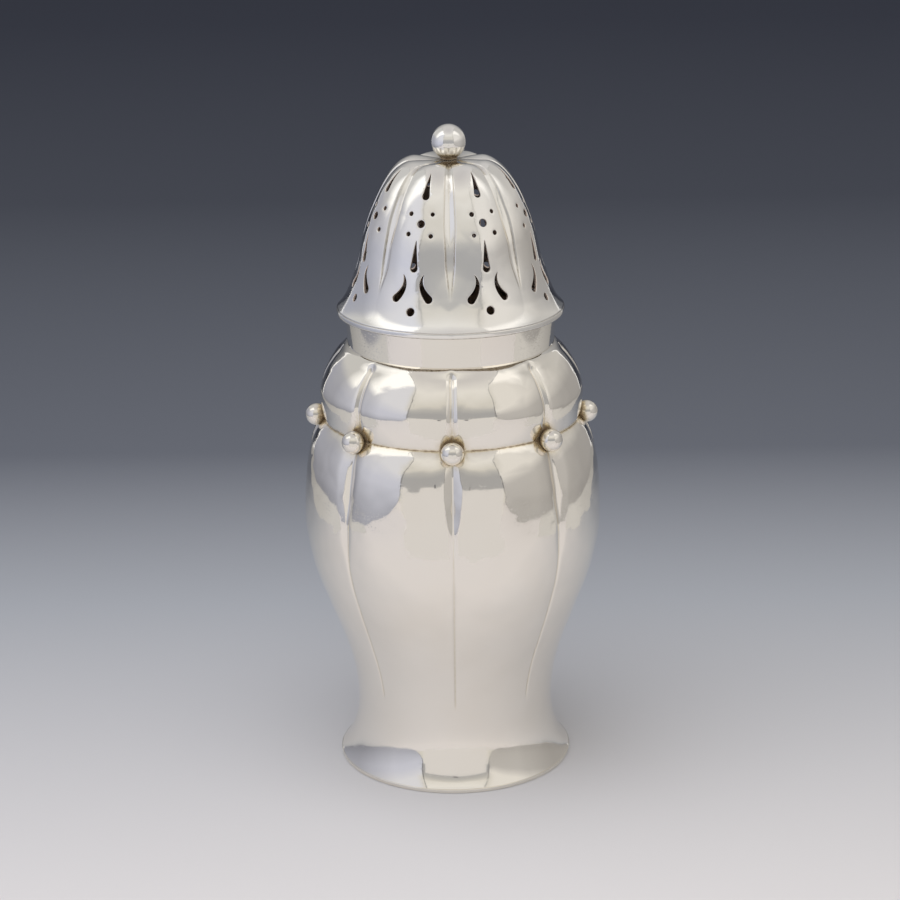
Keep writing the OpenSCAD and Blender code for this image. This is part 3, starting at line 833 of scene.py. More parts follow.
class CASTER_OT_beads(bpy.types.Operator):
    """Builds the eight beads and sets each in its crease"""

    bl_idname = "caster.beads"
    bl_label = "Waist beads"

    def execute(self, context):
        finish = context.scene.caster_finish
        pearl = silver_finish("bead silver", finish, polish_times=0.9, scratch_depth=0.05)
        turns = [BEAD_SWEEP * i / BEAD_STEPS for i in range(BEAD_STEPS + 1)]
        arc = [(BEAD_R * math.sin(t), BEAD_R * math.cos(t)) for t in turns]
        verts, faces = turned_solid([(0.0, arc[-1][1])] + arc[::-1], BEAD_COUNT)
        for k, (bead, (low, high)) in enumerate(zip(BEADS, BEAD_BOXES)):
            centre = (low + high) / 2
            aim = math.atan2(centre.y, centre.x)
            turn = (Matrix.Translation(centre) @ Matrix.Rotation(aim, 4, "Z")
                    @ Matrix.Rotation(math.pi / 2, 4, "Y"))
            drift = Vector([step * k for step in BEAD_DRIFT])
            shaped, stain = [], []
            for v in verts:
                p = Vector(v)
                uneven = 1 - BEAD_UNEVEN * (noise.noise(p / BEAD_LUMP + drift) + 1)
                shaped.append(turn @ (p * uneven))
                stain.append(stain_at(max(p.z + BEAD_STAIN_AT * BEAD_R, 0.0), BEAD_STAIN,
                                      BEAD_STAIN_W * BEAD_R))
            add_piece(f"bead_{k + 1}", shaped, faces, "body", [bead], [pearl],
                      stain)
        return {"FINISHED"}


# Lid

# Handles of the dome's curves, as shares of the run or the rise of each curve
FLARE_OUT, FLARE_UP, TURN_DOWN = 0.60, 0.213, 0.32
TURN_UP, CROWN_OUT = 0.3, 0.5
DIMPLE_IN, SEAT_OUT = 0.2, 0.5
TURN_LEAN = Vector((-0.21, 1.0))
DOME_STEPS = [44, 56, 24, 4]

# Flutes: shares of depth and width at places up the dome; the crown's own share ends each row
FLUTE_PLACES = (0.17, 0.45, 0.7, 0.9, 1.0)
FLUTE_WIDTHS = (0.2, 0.72, 1.0, 1.0, 1.0)
VALLEY_SHARES = (0.0, 0.8, 1.0, 0.8)
FLUTE_SHARES = (0.0, 0.15, 0.7, 1.0)
STEP_SHARES = (0.0, 0.85, 1.0, 1.0)
FLUTE_STEP, STEP_FOOT = 0.05, 0.4

# Columns of points from a flute, at 0, to a panel's centre line, at 1
PANEL_PLACES = (0.0, 0.02, 0.04, 0.06, 0.08, 0.10, 0.12, 0.14, 0.155, 0.17, 0.183, 0.197, 0.21,
                0.225, 0.25, 0.30, 0.37, 0.45, 0.54, 0.63, 0.72, 0.81, 0.90, 1.0)

# Openings: sideways shares of half a panel, shares of the dome's height, and sizes
UPPER_DROP, MIDDLE_DROP = (0.836, 0.9, 0.0074), (0.383, 1.0, 0.0077)
DOTS = ((0.37, 0.728), (0.36, 0.595))
EYES = (0.12, 0.662)
COMMAS = (0.46, 0.195)
DOT_POINTS, DROP_POINTS, COMMA_STEPS, COMMA_POINTS = 20, 14, 10, 9
DROP_SIDES = (0.06, 0.25, 0.5, 0.75)
COMMA_TIP, COMMA_BACK, COMMA_BOW = -1.4 * MM, -3.3 * MM, 0.55
COMMA_TAPER, COMMA_END = 0.8, 0.012

# Hand work: the saw's and the drill's slips, and the height above which openings stray
DROP_SLIP, DOT_SLIP, EYE_SLIP = 0.05, 0.08, 0.06
TURN_SLIP = math.radians(3.0)
STRAY_ABOVE = 0.55
HAND_SEED = 410

# Rims of the openings: growth and depth of the eased edge, and dimples round drilled dots
RIM_GROWTH = (0.06 * MM, 0.15 * MM)
RIM_EASES = (0.07 * MM, 0.015 * MM, 0.0)
RIM_GUARD = 0.28 * MM
DRILL_DIMPLE, DRILL_W = 0.05 * MM, 1.15 * MM
PLANISHED_FROM = 6 * MM
WELD = 0.002 * MM

# Strength and width of the tarnish, and of the painted shadow line under the rim band
FLUTE_GRIME = ((0.19, 0.0), (0.3, 0.8), (0.5, 0.8), (0.63, 0.2), (0.95, 0.12))
FLUTE_GRIME_W = 0.16 * MM
CROWN_REACH = 3 * MM
SEAT_RING, SEAT_BLOOM = (0.9, 1.3 * MM), (0.45, 3.2 * MM)
CROWN_STAIN = (0.45, 0.45 * MM)
SAWN_STAIN, SAWN_EASE = 0.35, 0.06 * MM
# Painted shadow line along the rim band's underside, and tarnish at its joint with the dome
RIM_SHADOW, RIM_JOINT = (0.8, 0.28 * MM), (0.5, 0.12 * MM)

RIM_FILLET, SLEEVE_FILLET = 0.45 * MM, 0.3 * MM

# Finial
BALL_STEPS, BALL_COUNT, PEG_COUNT = 56, 96, 64
BALL_LUMP, BALL_UNEVEN, BALL_SKIN = 3 * MM, 0.006, 0.9
WELL_STEP = 0.1 * MM
BALL_RING, BALL_BLOOM = (1.0, 1.0 * MM), (0.3, 2.6 * MM)
COVE_PLACES, COVE_DEPTH = (0.0, 0.15, 0.3, 0.5, 0.7, 0.85, 1.0), 0.07
PEG_CAP, PEG_STEP, PEG_EASE, PEG_TUCK = 0.25 * MM, 0.1 * MM, 0.05 * MM, 0.02 * MM
NECK_DARK, PEG_DARK = 0.9, 0.3


def dome_meridian(lid, steps):
    """The lid's outside from its rim over the turn and the crown to the finial's bore."""
    edge = Vector((RIM_R - EDGE_LAP, RIM_TOP))
    turn = Vector((RIM_R - lid.dome_in, RIM_TOP + lid.dome_turn_h))
    crown = Vector((lid.crown_d / 2, DOME_TOP))
    seat = Vector((lid.seat_r, DOME_TOP - lid.dimple))
    bore = Vector((lid.bore_r, seat.y))
    flare, rise = turn - edge, crown - turn
    curves = [
        [edge, edge + Vector((FLARE_OUT * flare.x, FLARE_UP * flare.y)),
         turn - TURN_LEAN * TURN_DOWN * flare.y, turn],
        [turn, turn + TURN_LEAN * TURN_UP * rise.y, crown - Vector((CROWN_OUT * rise.x, 0)),
         crown],
        [crown, crown + Vector((DIMPLE_IN * (seat.x - crown.x), 0)),
         seat + Vector((SEAT_OUT * (crown.x - seat.x), 0)), seat],
        [seat, seat * 0.7 + bore * 0.3, seat * 0.3 + bore * 0.7, bore],
    ]
    return meridian(curves, steps)


def dome_knots(shares, size):
    """Heights and values of a size that changes up the dome."""
    return [(RIM_TOP + at * DOME_H, part * size) for at, part in zip(FLUTE_PLACES, shares)]


def lid_dip(u, valley, flute, step, edge):
    """Depth of a valley and its flute, from u = 0 in the flute to 1 on the panel's centre line;
    the flute is a shallow vee with a step along its edge."""
    groove = max(0.0, 1 - u / edge)
    t = min(1.0, max(0.0, (edge + FLUTE_STEP / 2 - u) / FLUTE_STEP))
    return valley * (1 - u) ** 2 + flute * groove + step * t * t * (3 - 2 * t)


def dot_outline(diameter):
    """A drilled dot round the origin."""
    return [Vector((math.cos(a), math.sin(a))) * diameter / 2
            for a in (math.tau * k / DOT_POINTS for k in range(DOT_POINTS))]


def drop_outline(width, height):
    """A sawn drop with its round end at the origin and its tip above."""
    tangent = math.asin(width / 2 / height)
    first = Vector((math.cos(tangent), math.sin(tangent))) * width / 2
    tip = Vector((0.0, height))
    right = [tip.lerp(first, t) for t in DROP_SIDES]
    turns = (tangent - k * (math.pi + 2 * tangent) / DROP_POINTS for k in range(DROP_POINTS + 1))
    arc = [Vector((math.cos(a), math.sin(a))) * width / 2 for a in turns]
    left = [Vector((-p.x, p.y)) for p in right[::-1]]
    return (right + arc + left)[::-1]


def comma_outline(width, height, side):
    """A sawn comma whose tail bows inwards and whose round end, at the origin, curls outwards."""
    tip, back = Vector((COMMA_TIP, height)), Vector((COMMA_BACK, COMMA_BOW * height))
    spine, sides = [], []
    for i in range(COMMA_STEPS + 1):
        t = i / COMMA_STEPS
        spine.append((1 - t) ** 2 * tip + 2 * t * (1 - t) * back)
        d = -2 * (1 - t) * tip + 2 * (1 - 2 * t) * back
        d.normalize()
        sides.append(Vector((-d.y, d.x)) * width / 2 * max(t, COMMA_END) ** COMMA_TAPER)
    start = math.atan2(sides[-1].y, sides[-1].x)
    arc = [Vector((math.cos(start - a), math.sin(start - a))) * width / 2
           for a in (math.pi * k / COMMA_POINTS for k in range(1, COMMA_POINTS))]
    outline = [p + s for p, s in zip(spine, sides)] + arc + [
        p - s for p, s in list(zip(spine, sides))[::-1]]
    outline = [Vector((side * p.x, p.y)) for p in outline]
    return outline[::-1] if side > 0 else outline


def area_of(outline):
    """Signed area of an outline, positive when it runs counter-clockwise."""
    return sum(a.x * b.y - b.x * a.y for a, b in zip(outline, outline[1:] + outline[:1])) / 2


def grown(outline, amount):
    """An outline moved outwards by an amount."""
    made = []
    for i, p in enumerate(outline):
        before, after = outline[i - 1], outline[(i + 1) % len(outline)]
        along = (p - before).normalized() + (after - p).normalized()
        if along.length < 1e-6:
            along = after - before
        along.normalize()
        made.append(p + Vector((along.y, -along.x)) * amount)
    return made


def within(point, outline):
    """Whether a point lies inside an outline."""
    hit = False
    for a, b in zip(outline, outline[1:] + outline[:1]):
        if (a.y > point.y) != (b.y > point.y):
            if point.x < (b.x - a.x) * (point.y - a.y) / (b.y - a.y) + a.x:
                hit = not hit
    return hit


def panel_openings(lid, hand):
    """Openings of one panel as (sideways share, height, outline, whether drilled), with the small
    wander of hand work."""

    def slip():
        return hand.uniform(-1, 1)

    def drop(height, wide, tall):
        width = lid.drop_w * (wide + DROP_SLIP * slip())
        return 0.0, height, drop_outline(width, tall), False

    openings = [drop(*UPPER_DROP)]
    for side in (-1, 1):
        for sideways, height in DOTS:
            dot = dot_outline(lid.dot_d * (1 + DOT_SLIP * slip()))
            openings.append((side * sideways, height, dot, True))
    for height in EYES:
        openings.append((0.0, height, dot_outline(lid.eye_d * (1 + EYE_SLIP * slip())), True))
    openings.append(drop(*MIDDLE_DROP))
    for side in (-1, 1):
        comma = comma_outline(lid.drop_w, lid.comma_h, side)
        openings.append((side * COMMAS[0], COMMAS[1], comma, False))
    placed = []
    for sideways, height, outline, drilled in openings:
        turn = Matrix.Rotation(TURN_SLIP * slip(), 2)
        stray = lid.hand_twist if height > STRAY_ABOVE else 0.0
        shift = Vector((stray + lid.hand_slip * slip(), lid.hand_slip * slip()))
        outline = [turn @ p + shift for p in outline]
        if area_of(outline) < 0:
            outline.reverse()
        placed.append((sideways, RIM_TOP + height * DOME_H, outline, drilled))
    return placed


class Dome:
    """The lid's outside as a map from a place on a panel to a point in space."""

    def __init__(self, lid):
        self.lid = lid
        line = dome_meridian(lid, DOME_STEPS)
        self.line = line
        self.normals = outward(line)
        steps = np.linalg.norm(np.diff(line, axis=0), axis=1)
        self.s = np.concatenate([[0.0], np.cumsum(steps)])
        self.crown = int(np.argmax(line[:, 1]))
        self.valleys = self.depths((*VALLEY_SHARES, lid.crown_valley), lid.valley_depth)
        self.flutes = self.depths((*FLUTE_SHARES, lid.crown_flute),
                                  lid.flute_depth - lid.flute_edge)
        self.steps = self.depths((*STEP_SHARES, lid.crown_flute), lid.flute_edge)
        knots = dome_knots(FLUTE_WIDTHS, lid.flute_share)
        self.edges = np.array([eased(z, knots) for _, z in line[:self.crown]]
                              + [lid.flute_share] * (len(line) - self.crown))

    def depths(self, shares, depth):
        """Depths along a panel from shares of a depth, closing towards the dimple's flat."""
        knots = dome_knots(shares, depth)
        made = [eased(z, knots) for _, z in self.line]
        seat_r, crown_r = self.lid.seat_r, self.lid.crown_d / 2
        for i in range(self.crown, len(made)):
            made[i] = shares[-1] * depth * max(0.0, self.line[i][0] - seat_r) / (crown_r - seat_r)
        return np.array(made)

    def radius(self, s):
        """Radius at a length along the panel."""
        return float(np.interp(s, self.s, self.line[:, 0]))

    def corner(self, turn, s):
        """Length from a place on a panel to the corner at the foot of its flute's step."""
        r, edge = self.radius(s), float(np.interp(s, self.s, self.edges))
        return (HALF_PITCH - abs(turn) - (edge - STEP_FOOT * FLUTE_STEP) * HALF_PITCH) * r

    def along(self, height):
        """Length along the panel from the rim to a height."""
        return float(np.interp(height, self.line[:self.crown + 1, 1], self.s[:self.crown + 1]))

    def point(self, turn, s, sunk):
        """Radius and height at an angle from the panel's centre line and a length along it, sunk
        in."""
        r, z, nr, nz, *dip = [
            np.interp(s, self.s, table)
            for table in (self.line[:, 0], self.line[:, 1], self.normals[:, 0],
                          self.normals[:, 1], self.valleys, self.flutes, self.steps, self.edges)]
        u = 1 - min(1.0, abs(turn) / HALF_PITCH)
        sunk = sunk + lid_dip(u, *dip)
        return r - nr * sunk, z - nz * sunk


def panel_holes(dome, hand):
    """One panel's openings, laid flat: the sawn edge and two rims round it, the middle, and
    whether it is drilled."""
    holes = []
    for sideways, height, outline, drilled in panel_openings(dome.lid, hand):
        s0 = dome.along(height)
        r0 = dome.radius(s0)
        t0 = sideways * HALF_PITCH

        def laid(points):
            return [Vector(((t0 + p.x / r0) * dome.radius(s0 + p.y), s0 + p.y)) for p in points]

        rims = [laid(outline)] + [laid(grown(outline, amount)) for amount in RIM_GROWTH]
        holes.append((rims, sum(rims[0], Vector((0, 0))) / len(rims[0]), drilled))
    return holes


def pierced_panel(dome, hand):
    """One panel as places (angle, length along, depth of the eased edge), triangles, the loops of
    its sawn edges, and the rows of places at its foot and its top."""
    half = [1 - u for u in PANEL_PLACES]
    crowd = [-c for c in half] + half[-2::-1]
    columns = len(crowd) - 1
    last = len(dome.s) - 1
    holes = panel_holes(dome, hand)
    walls = [rims[-1] for rims, _, _ in holes]
    guard = np.array([tuple(p) for wall in walls for p in wall])
    spots, edges, eases = [], [], []

    def add(v, s, ease):
        spots.append(Vector((v, s)))
        eases.append(ease)
        return len(spots) - 1

    grid = {}
    for i, s in enumerate(dome.s):
        r = dome.radius(s)
        for j, c in enumerate(crowd):
            v = c * HALF_PITCH * r
            if 0 < i < last and 0 < j < columns:
                if np.min(np.sum((guard - (v, s)) ** 2, axis=1)) < RIM_GUARD ** 2:
                    continue
                if any(within(Vector((v, s)), wall) for wall in walls):
                    continue
            grid[i, j] = add(v, s, 0.0)
    border = [grid[0, j] for j in range(columns + 1)]
    border += [grid[i, columns] for i in range(1, last + 1)]
    border += [grid[last, j] for j in range(columns - 1, -1, -1)]
    border += [grid[i, 0] for i in range(last - 1, 0, -1)]
    edges += list(zip(border, border[1:] + border[:1]))
    sawn = []
    for rims, _, _ in holes:
        loops = [[add(p.x, p.y, ease) for p in rim] for rim, ease in zip(rims, RIM_EASES)]
        for loop in loops:
            edges += list(zip(loop, loop[1:] + loop[:1]))
        sawn.append(loops[0])
    coords, _, tris, origin, _, _ = delaunay_2d_cdt(spots, edges, [], 1, 1e-9)
    places = []
    for p, sources in zip(coords, origin):
        ease = eases[sources[0]]
        for _, middle, drilled in holes:
            if drilled:
                ease += DRILL_DIMPLE * bell((p - middle).length, DRILL_W)
        places.append((p.x / dome.radius(p.y), p.y, ease))
    kept = []
    for tri in tris:
        middle = (coords[tri[0]] + coords[tri[1]] + coords[tri[2]]) / 3
        if not any(within(middle, rims[0]) for rims, _, _ in holes):
            kept.append(tuple(tri))
    new = {source: index for index, sources in enumerate(origin) for source in sources}
    sawn = [[new[k] for k in loop] for loop in sawn]
    foot_row, top_row = ([new[grid[i, j]] for j in range(columns + 1)] for i in (0, last))
    return places, kept, sawn, foot_row, top_row


def panel_faces(start, count, tris, sawn, foot_row, top_row):
    """Faces of one panel, and whether each is on the inside; count is the number of its outside
    points, which its inside points follow."""
    inner = start + count
    faces = []
    for a, b, c in tris:
        faces += [((start + a, start + b, start + c), False),
                  ((inner + c, inner + b, inner + a), True)]
    for loop in sawn:
        faces += [((start + a, start + b, inner + b, inner + a), True)
                  for a, b in zip(loop, loop[1:] + loop[:1])]
    faces += [((inner + a, inner + b, start + b, start + a), True)
              for a, b in zip(foot_row, foot_row[1:])]
    faces += [((start + a, start + b, inner + b, inner + a), True)
              for a, b in zip(top_row, top_row[1:])]
    return faces


def dome_stain(lid, r, z, off, corner, ease, grime):
    """Tarnish on the lid's outside: in the flutes' corners, round the finial and on sawn edges;
    off is the length to the valley's middle line."""
    brown = eased(z, grime) * bell(corner, FLUTE_GRIME_W)
    if z > DOME_TOP - CROWN_REACH:
        from_seat = max(r - lid.seat_r, 0.0)
        brown = max(brown, stain_at(from_seat, *SEAT_RING), stain_at(from_seat, *SEAT_BLOOM),
                    stain_at(off, *CROWN_STAIN))
    return max(brown, SAWN_STAIN if ease > SAWN_EASE else 0.0)


def dome_skin(lid):
    """The whole lid: eight pierced panels with an outside, an inside and the walls between."""
    dome = Dome(lid)
    grime = [(RIM_TOP + at * DOME_H, part) for at, part in FLUTE_GRIME]
    verts, faces, stain = [], [], []
    for panel in range(LOBES):
        hand = random.Random(HAND_SEED + panel)
        centre = FRONT + (panel + 0.5) * PITCH
        places, tris, sawn, foot_row, top_row = pierced_panel(dome, hand)
        faces += panel_faces(len(verts), len(places), tris, sawn, foot_row, top_row)
        for turn, s, ease in places:
            r, z = dome.point(turn, s, 0.0)
            spot = Vector(around(r, centre + turn, z))
            fade = min(1.0, s / PLANISHED_FROM)
            sunk = ease + lid.hammer_depth * fade * hammer_marks(spot, lid.hammer_pitch)
            r, z = dome.point(turn, s, sunk)
            verts.append(around(r, centre + turn, max(z, RIM_TOP)))
            off = (HALF_PITCH - abs(turn)) * r
            stain.append(dome_stain(lid, r, z, off, dome.corner(turn, s), ease, grime))
        for turn, s, _ in places:
            r, z = dome.point(turn, s, lid.dome_wall)
            verts.append(around(r, centre + turn, max(z, RIM_TOP)))
            stain.append(INSIDE_STAIN)
    return welded(verts, faces, stain)


def welded(verts, faces, stain):
    """The same mesh with the panels' shared edges joined: vertices, faces, flags of the inside
    faces, and tarnish."""
    found, new, kept, kept_stain = {}, [], [], []
    for v, value in zip(verts, stain):
        key = tuple(round(c / WELD) for c in v)
        if key not in found:
            found[key] = len(kept)
            kept.append(v)
            kept_stain.append(value)
        new.append(found[key])
    made, flags = [], []
    for face, flag in faces:
        joined = tuple(new[k] for k in face)
        if len(set(joined)) == len(joined):
            made.append(joined)
            flags.append(flag)
    return kept, made, flags, kept_stain


class CASTER_OT_lid(bpy.types.Operator):
    """Builds the fluted bell of the lid with its sawn and drilled openings"""

    bl_idname = "caster.lid"
    bl_label = "Pierced lid"

    def execute(self, context):
        _, lid, finish, _ = sizes_of(context)
        verts, faces, inside, stain = dome_skin(lid)
        add_piece("pierced_lid", verts, faces, "lid", ["lid_dome"],
                  [lid_finish(finish), inside_finish("lid inside", finish)], stain, inside)
        return {"FINISHED"}


class CASTER_OT_lid_rings(bpy.types.Operator):
    """Builds the lid's rim band with its flange, and the sleeve that slides in the collar"""

    bl_idname = "caster.lid_rings"
    bl_label = "Lid rim and sleeve"

    def execute(self, context):
        _, lid, finish, _ = sizes_of(context)
        dull = silver_finish("sleeve silver", finish, polish_times=3.0, scratch_depth=0.15)
        bore, band = SLEEVE_R + CLEARANCE, RIM_R - lid.rim_w
        flange = RIM_LOW + lid.flange_t
        ring_piece("lid_rim_band",
                   [(bore, RIM_LOW), (RIM_R, RIM_LOW), (RIM_R, RIM_TOP), (band, RIM_TOP),
                    (band, flange), (bore, flange)], RIM_FILLET, "lid", "lid_rim",
                   lid_finish(finish),
                   # painted shadow line along the underside where the band meets the neck, and
                   # tarnish at its top joint
                   lambda z: max(stain_at(z - RIM_LOW, *RIM_SHADOW),
                                 stain_at(z - RIM_TOP, *RIM_JOINT)))
        bore = SLEEVE_R - lid.sleeve_wall
        ring_piece("sliding_sleeve",
                   [(bore, SLEEVE_LOW), (SLEEVE_R, SLEEVE_LOW), (SLEEVE_R, SLEEVE_TOP),
                    (bore, SLEEVE_TOP)], SLEEVE_FILLET, "lid", "lid_sleeve",
                   dull)
        return {"FINISHED"}


def finial_ball(lid):
    """Vertices, faces and tarnish of the ball, with the well for its peg."""
    middle = BALL_TOP - BALL_R
    start = math.acos(min(1.0, (middle - BALL_LOW) / BALL_R))
    turns = [start + (math.pi - start) * k / BALL_STEPS for k in range(BALL_STEPS + 1)]
    arc = [(BALL_R * math.sin(t), middle - BALL_R * math.cos(t)) for t in turns]
    depth = PEG_TOP + CLEARANCE
    well = [(0.0, depth), (lid.bore_r * 0.5, depth), (lid.bore_r, depth), (lid.bore_r, BALL_LOW),
            (arc[0][0] - WELL_STEP, BALL_LOW)]
    verts, faces = turned_solid(well + arc[:-1] + [(0.0, BALL_TOP)], BALL_COUNT)
    shaped, stain = [], []
    for v in verts:
        p = Vector(v) - Vector((0, 0, middle))
        uneven = 1.0
        if p.length > BALL_SKIN * BALL_R:
            uneven = 1 - BALL_UNEVEN * (noise.noise(p / BALL_LUMP) + 1)
        shaped.append(p * uneven + Vector((0, 0, middle)))
        rise = max(v[2] - BALL_LOW, 0.0)
        stain.append(max(stain_at(rise, *BALL_RING), stain_at(rise, *BALL_BLOOM)))
    return shaped, faces, stain


def finial_peg(lid):
    """Vertices, faces and tarnish of the peg, from its head inside the dome over the neck that
    carries the ball to its tip."""
    seat = DOME_TOP - lid.dimple
    under = seat - lid.dome_wall
    cap, peg_r = PEG_CAP, lid.peg_r
    head = [(0.0, PEG_LOW), (HEAD_R - 2 * cap, PEG_LOW), (HEAD_R - 0.4 * cap, PEG_LOW + 0.4 * cap),
            (HEAD_R, PEG_LOW + cap), (HEAD_R, under - 0.2 * cap), (HEAD_R - 0.2 * cap, under)]
    shank = [(peg_r + PEG_STEP, under), (peg_r, under + PEG_EASE), (peg_r, seat - PEG_EASE),
             (peg_r, seat)]
    cove = [(lid.neck_r * (1 - COVE_DEPTH * math.sin(math.pi * t)), seat + (BALL_LOW - seat) * t)
            for t in COVE_PLACES]
    tip = [(peg_r, BALL_LOW + PEG_TUCK), (peg_r, PEG_TOP - cap), (peg_r - cap, PEG_TOP),
           (0.0, PEG_TOP)]
    verts, faces = turned_solid(head + shank + cove + tip, PEG_COUNT)
    return verts, faces, [NECK_DARK if seat <= v[2] <= BALL_LOW else PEG_DARK for v in verts]


class CASTER_OT_finial(bpy.types.Operator):
    """Builds the ball finial and the peg whose neck carries it on the crown"""

    bl_idname = "caster.finial"
    bl_label = "Ball finial"

    def execute(self, context):
        _, lid, finish, _ = sizes_of(context)
        # The finial shares the lid's silver, brightened as painted light
        silver = silver_finish("finial silver", finish, polish_times=0.9, scratch_depth=0.05,
                               tint=finish.lid_silver)
        verts, faces, stain = finial_ball(lid)
        add_piece("finial_knob", verts, faces, "lid", ["finial_ball"], [silver],
                  stain)
        verts, faces, stain = finial_peg(lid)
        add_piece("finial_neck", verts, faces, "lid", ["finial_peg"], [silver],
                  stain)
        return {"FINISHED"}


# Studio

CAMERA_AT = Vector((-0.0006, -0.650, 0.2986))
CAMERA_PITCH = math.radians(17.91)
CAMERA_ROLL = math.radians(-0.709)
CAMERA_LENS, CAMERA_SENSOR, CAMERA_CLIP = 99.13, 36.0, 0.01
LAMP_AT, LAMP_SIZE, LAMP_POWER = (-0.25, -0.35, 1.4), 1.6, 14.8
BLACK = (0.0, 0.0, 0.0, 1.0)

# Floor, and the places of its tones from front to back
FLOOR_X, FLOOR_Y = 3.0, (-1.2, 4.0)
FLOOR_PLACES = (-0.10, 0.113, 0.274, 0.74, 1.45)

# Light screens: place, round front corners, frame, bright rear edge and tones by height
SCREEN_X, SCREEN_Y, SCREEN_TOP = 0.345, (-0.48, 0.515), 0.86
SCREEN_ROUND, ROUND_TURN, ROUND_COUNT = 0.16, 7.5, 13
FRAME_W = 0.018
EDGE_Y, EDGE_TOP = (0.475, 0.515), 0.36
SHADE_PLACES = (0.0, 0.05, 0.12, 0.17)
LEFT_SHADES, RIGHT_SHADES = (0.66, 0.84, 1.0, 1.02), (0.85, 0.97, 1.0, 1.02)
LEFT_MIDDLE, RIGHT_MIDDLE = 0.32, 0.28
LEFT_GLOW, RIGHT_GLOW = (0.25, 0.32), (0.305, 0.43)
LEFT_BACK, RIGHT_BACK = 0.62, 0.72
WALL_SPAN = (-0.14, 0.14)
GLOW_SPAN, GLOW_BACK = (-0.02, 0.11), 0.5
GLOW_FRONT, GLOW_SLANT = 0.02, 1.5
FADE_HEIGHT, FADE_DEPTH = (0.30, 0.38), 0.12

# Paper beside the screens: place, and parts of its tint from front to back
SIDE_X, SIDE_Y = 0.25, (-0.10, 0.50)
SIDE_TONES = ((0.0, 1.0), (0.10, 0.84), (0.30, 0.55))

# Cards before the caster
NEAR_X, NEAR_Y, NEAR_TOP = 0.115, -0.19, 0.106
FRONT_X, FRONT_Y, FRONT_TOP = 0.278, -0.40, 0.36
FRONT_PLACES = (0.0, 0.128, 0.135, 0.225, 0.30, FRONT_TOP)
FRONT_BLEND = 0.65
GAP_X, GAP_LOW = 0.291, 0.13
LENS_X, LENS_Z = 0.008, (0.100, 0.116)

# Room: tones by height before and behind the caster, and the turn between them
BEFORE_PLACES = (0.0, 0.55, 0.78, 0.99)
BEHIND_PLACES = (0.0, 0.08, 0.36, 0.8, 1.0)
BEHIND_SPAN = (0.0, 0.5)


def place_camera(scene):
    """The camera at the photograph's height, distance and angle."""
    data = bpy.data.cameras.new("studio_camera")
    data.lens = CAMERA_LENS
    data.sensor_width = CAMERA_SENSOR
    data.clip_start = CAMERA_CLIP
    camera = bpy.data.objects.new("studio_camera", data)
    scene.collection.objects.link(camera)
    camera.matrix_world = (Matrix.Translation(CAMERA_AT)
                           @ Matrix.Rotation(math.pi / 2 - CAMERA_PITCH, 4, "X")
                           @ Matrix.Rotation(CAMERA_ROLL, 4, "Z"))
    scene.camera = camera


def floor_material(studio):
    """Graded paper: pale under and before the caster, slate far behind it."""
    made, tree, output = plain_material("graded paper")
    paper = node_of(tree, "ShaderNodeBsdfPrincipled",
                    values={"Roughness": 0.9, "Specular IOR Level": 0.0})
    tones = (studio.floor_near, studio.floor_mid, studio.floor_slate, studio.floor_dark,
             studio.floor_far)
    tint = graded(tree, place_of(tree)["Y"], list(zip(FLOOR_PLACES, tones)))
    tree.links.new(tint, paper.inputs["Base Color"])
    tree.links.new(paper.outputs["BSDF"], output.inputs["Surface"])
    return made


def glowing(name, tint_in):
    """A lit card; tint_in makes its colour in a node tree."""
    made, tree, output = plain_material(name)
    light = node_of(tree, "ShaderNodeEmission")
    feed(tree, tint_in(tree), light.inputs["Color"])
    tree.links.new(light.outputs["Emission"], output.inputs["Surface"])
    return made


def card_material(name, tint):
    """A card that glows evenly, as a lit reflector does."""
    return glowing(name, lambda tree: (*tint, 1.0))


def parts_of(tint, tones):
    """Tones from places and parts of one tint."""
    return [(at, [part * c for c in tint]) for at, part in tones]


def side_material(name, tint):
    """Paper on the floor beside a light screen, darker towards the back."""
    tones = parts_of(tint, SIDE_TONES)
    return glowing(name, lambda tree: graded(tree, place_of(tree)["Y"], tones))


def front_material(studio):
    """The card before the caster: pale below, a shaded band, then the room's tone."""
    card, shade, room = studio.front_card, studio.front_shade, studio.room
    between = [FRONT_BLEND * a + (1 - FRONT_BLEND) * b for a, b in zip(shade, room)]
    tones = list(zip(FRONT_PLACES, (card, card, shade, shade, between, room)))
    return glowing("front card", lambda tree: graded(tree, place_of(tree)["Z"], tones))


def screen_tones(shade, shades, middle, middle_z):
    """Tones of a light screen by height: parts of its shade below, its middle tone above."""
    tones = parts_of(shade, zip(SHADE_PLACES, shades))
    return tones + [(middle_z, middle), (SCREEN_TOP, middle)]


def screen_material(name, tones, glow, glow_z, room, back):
    """A light screen: shaded below, bright above where the lamp is, dimmer towards the back, and
    fading into the room's tone at its upper front."""

    def tint_in(tree):
        place = place_of(tree)
        deep, high = place["Y"], place["Z"]
        wall = mixed(tree, spread(tree, deep, WALL_SPAN, (1.0, back)), BLACK,
                     graded(tree, high, tones))
        light = mixed(tree, spread(tree, deep, GLOW_SPAN, (1.0, GLOW_BACK)), BLACK, (*glow, 1.0))
        ahead = maths(tree, "MINIMUM", maths(tree, "ADD", deep, GLOW_FRONT), 0.0)
        slant = maths(tree, "ADD", high, maths(tree, "MULTIPLY", ahead, GLOW_SLANT))
        lit = mixed(tree, spread(tree, slant, glow_z), wall, light)
        lower = spread(tree, high, FADE_HEIGHT, (1.0, 0.0))
        inner = spread(tree, deep, (SCREEN_Y[0], SCREEN_Y[0] + FADE_DEPTH))
        return mixed(tree, maths(tree, "MAXIMUM", lower, inner), (*room, 1.0), lit)

    return glowing(name, tint_in)


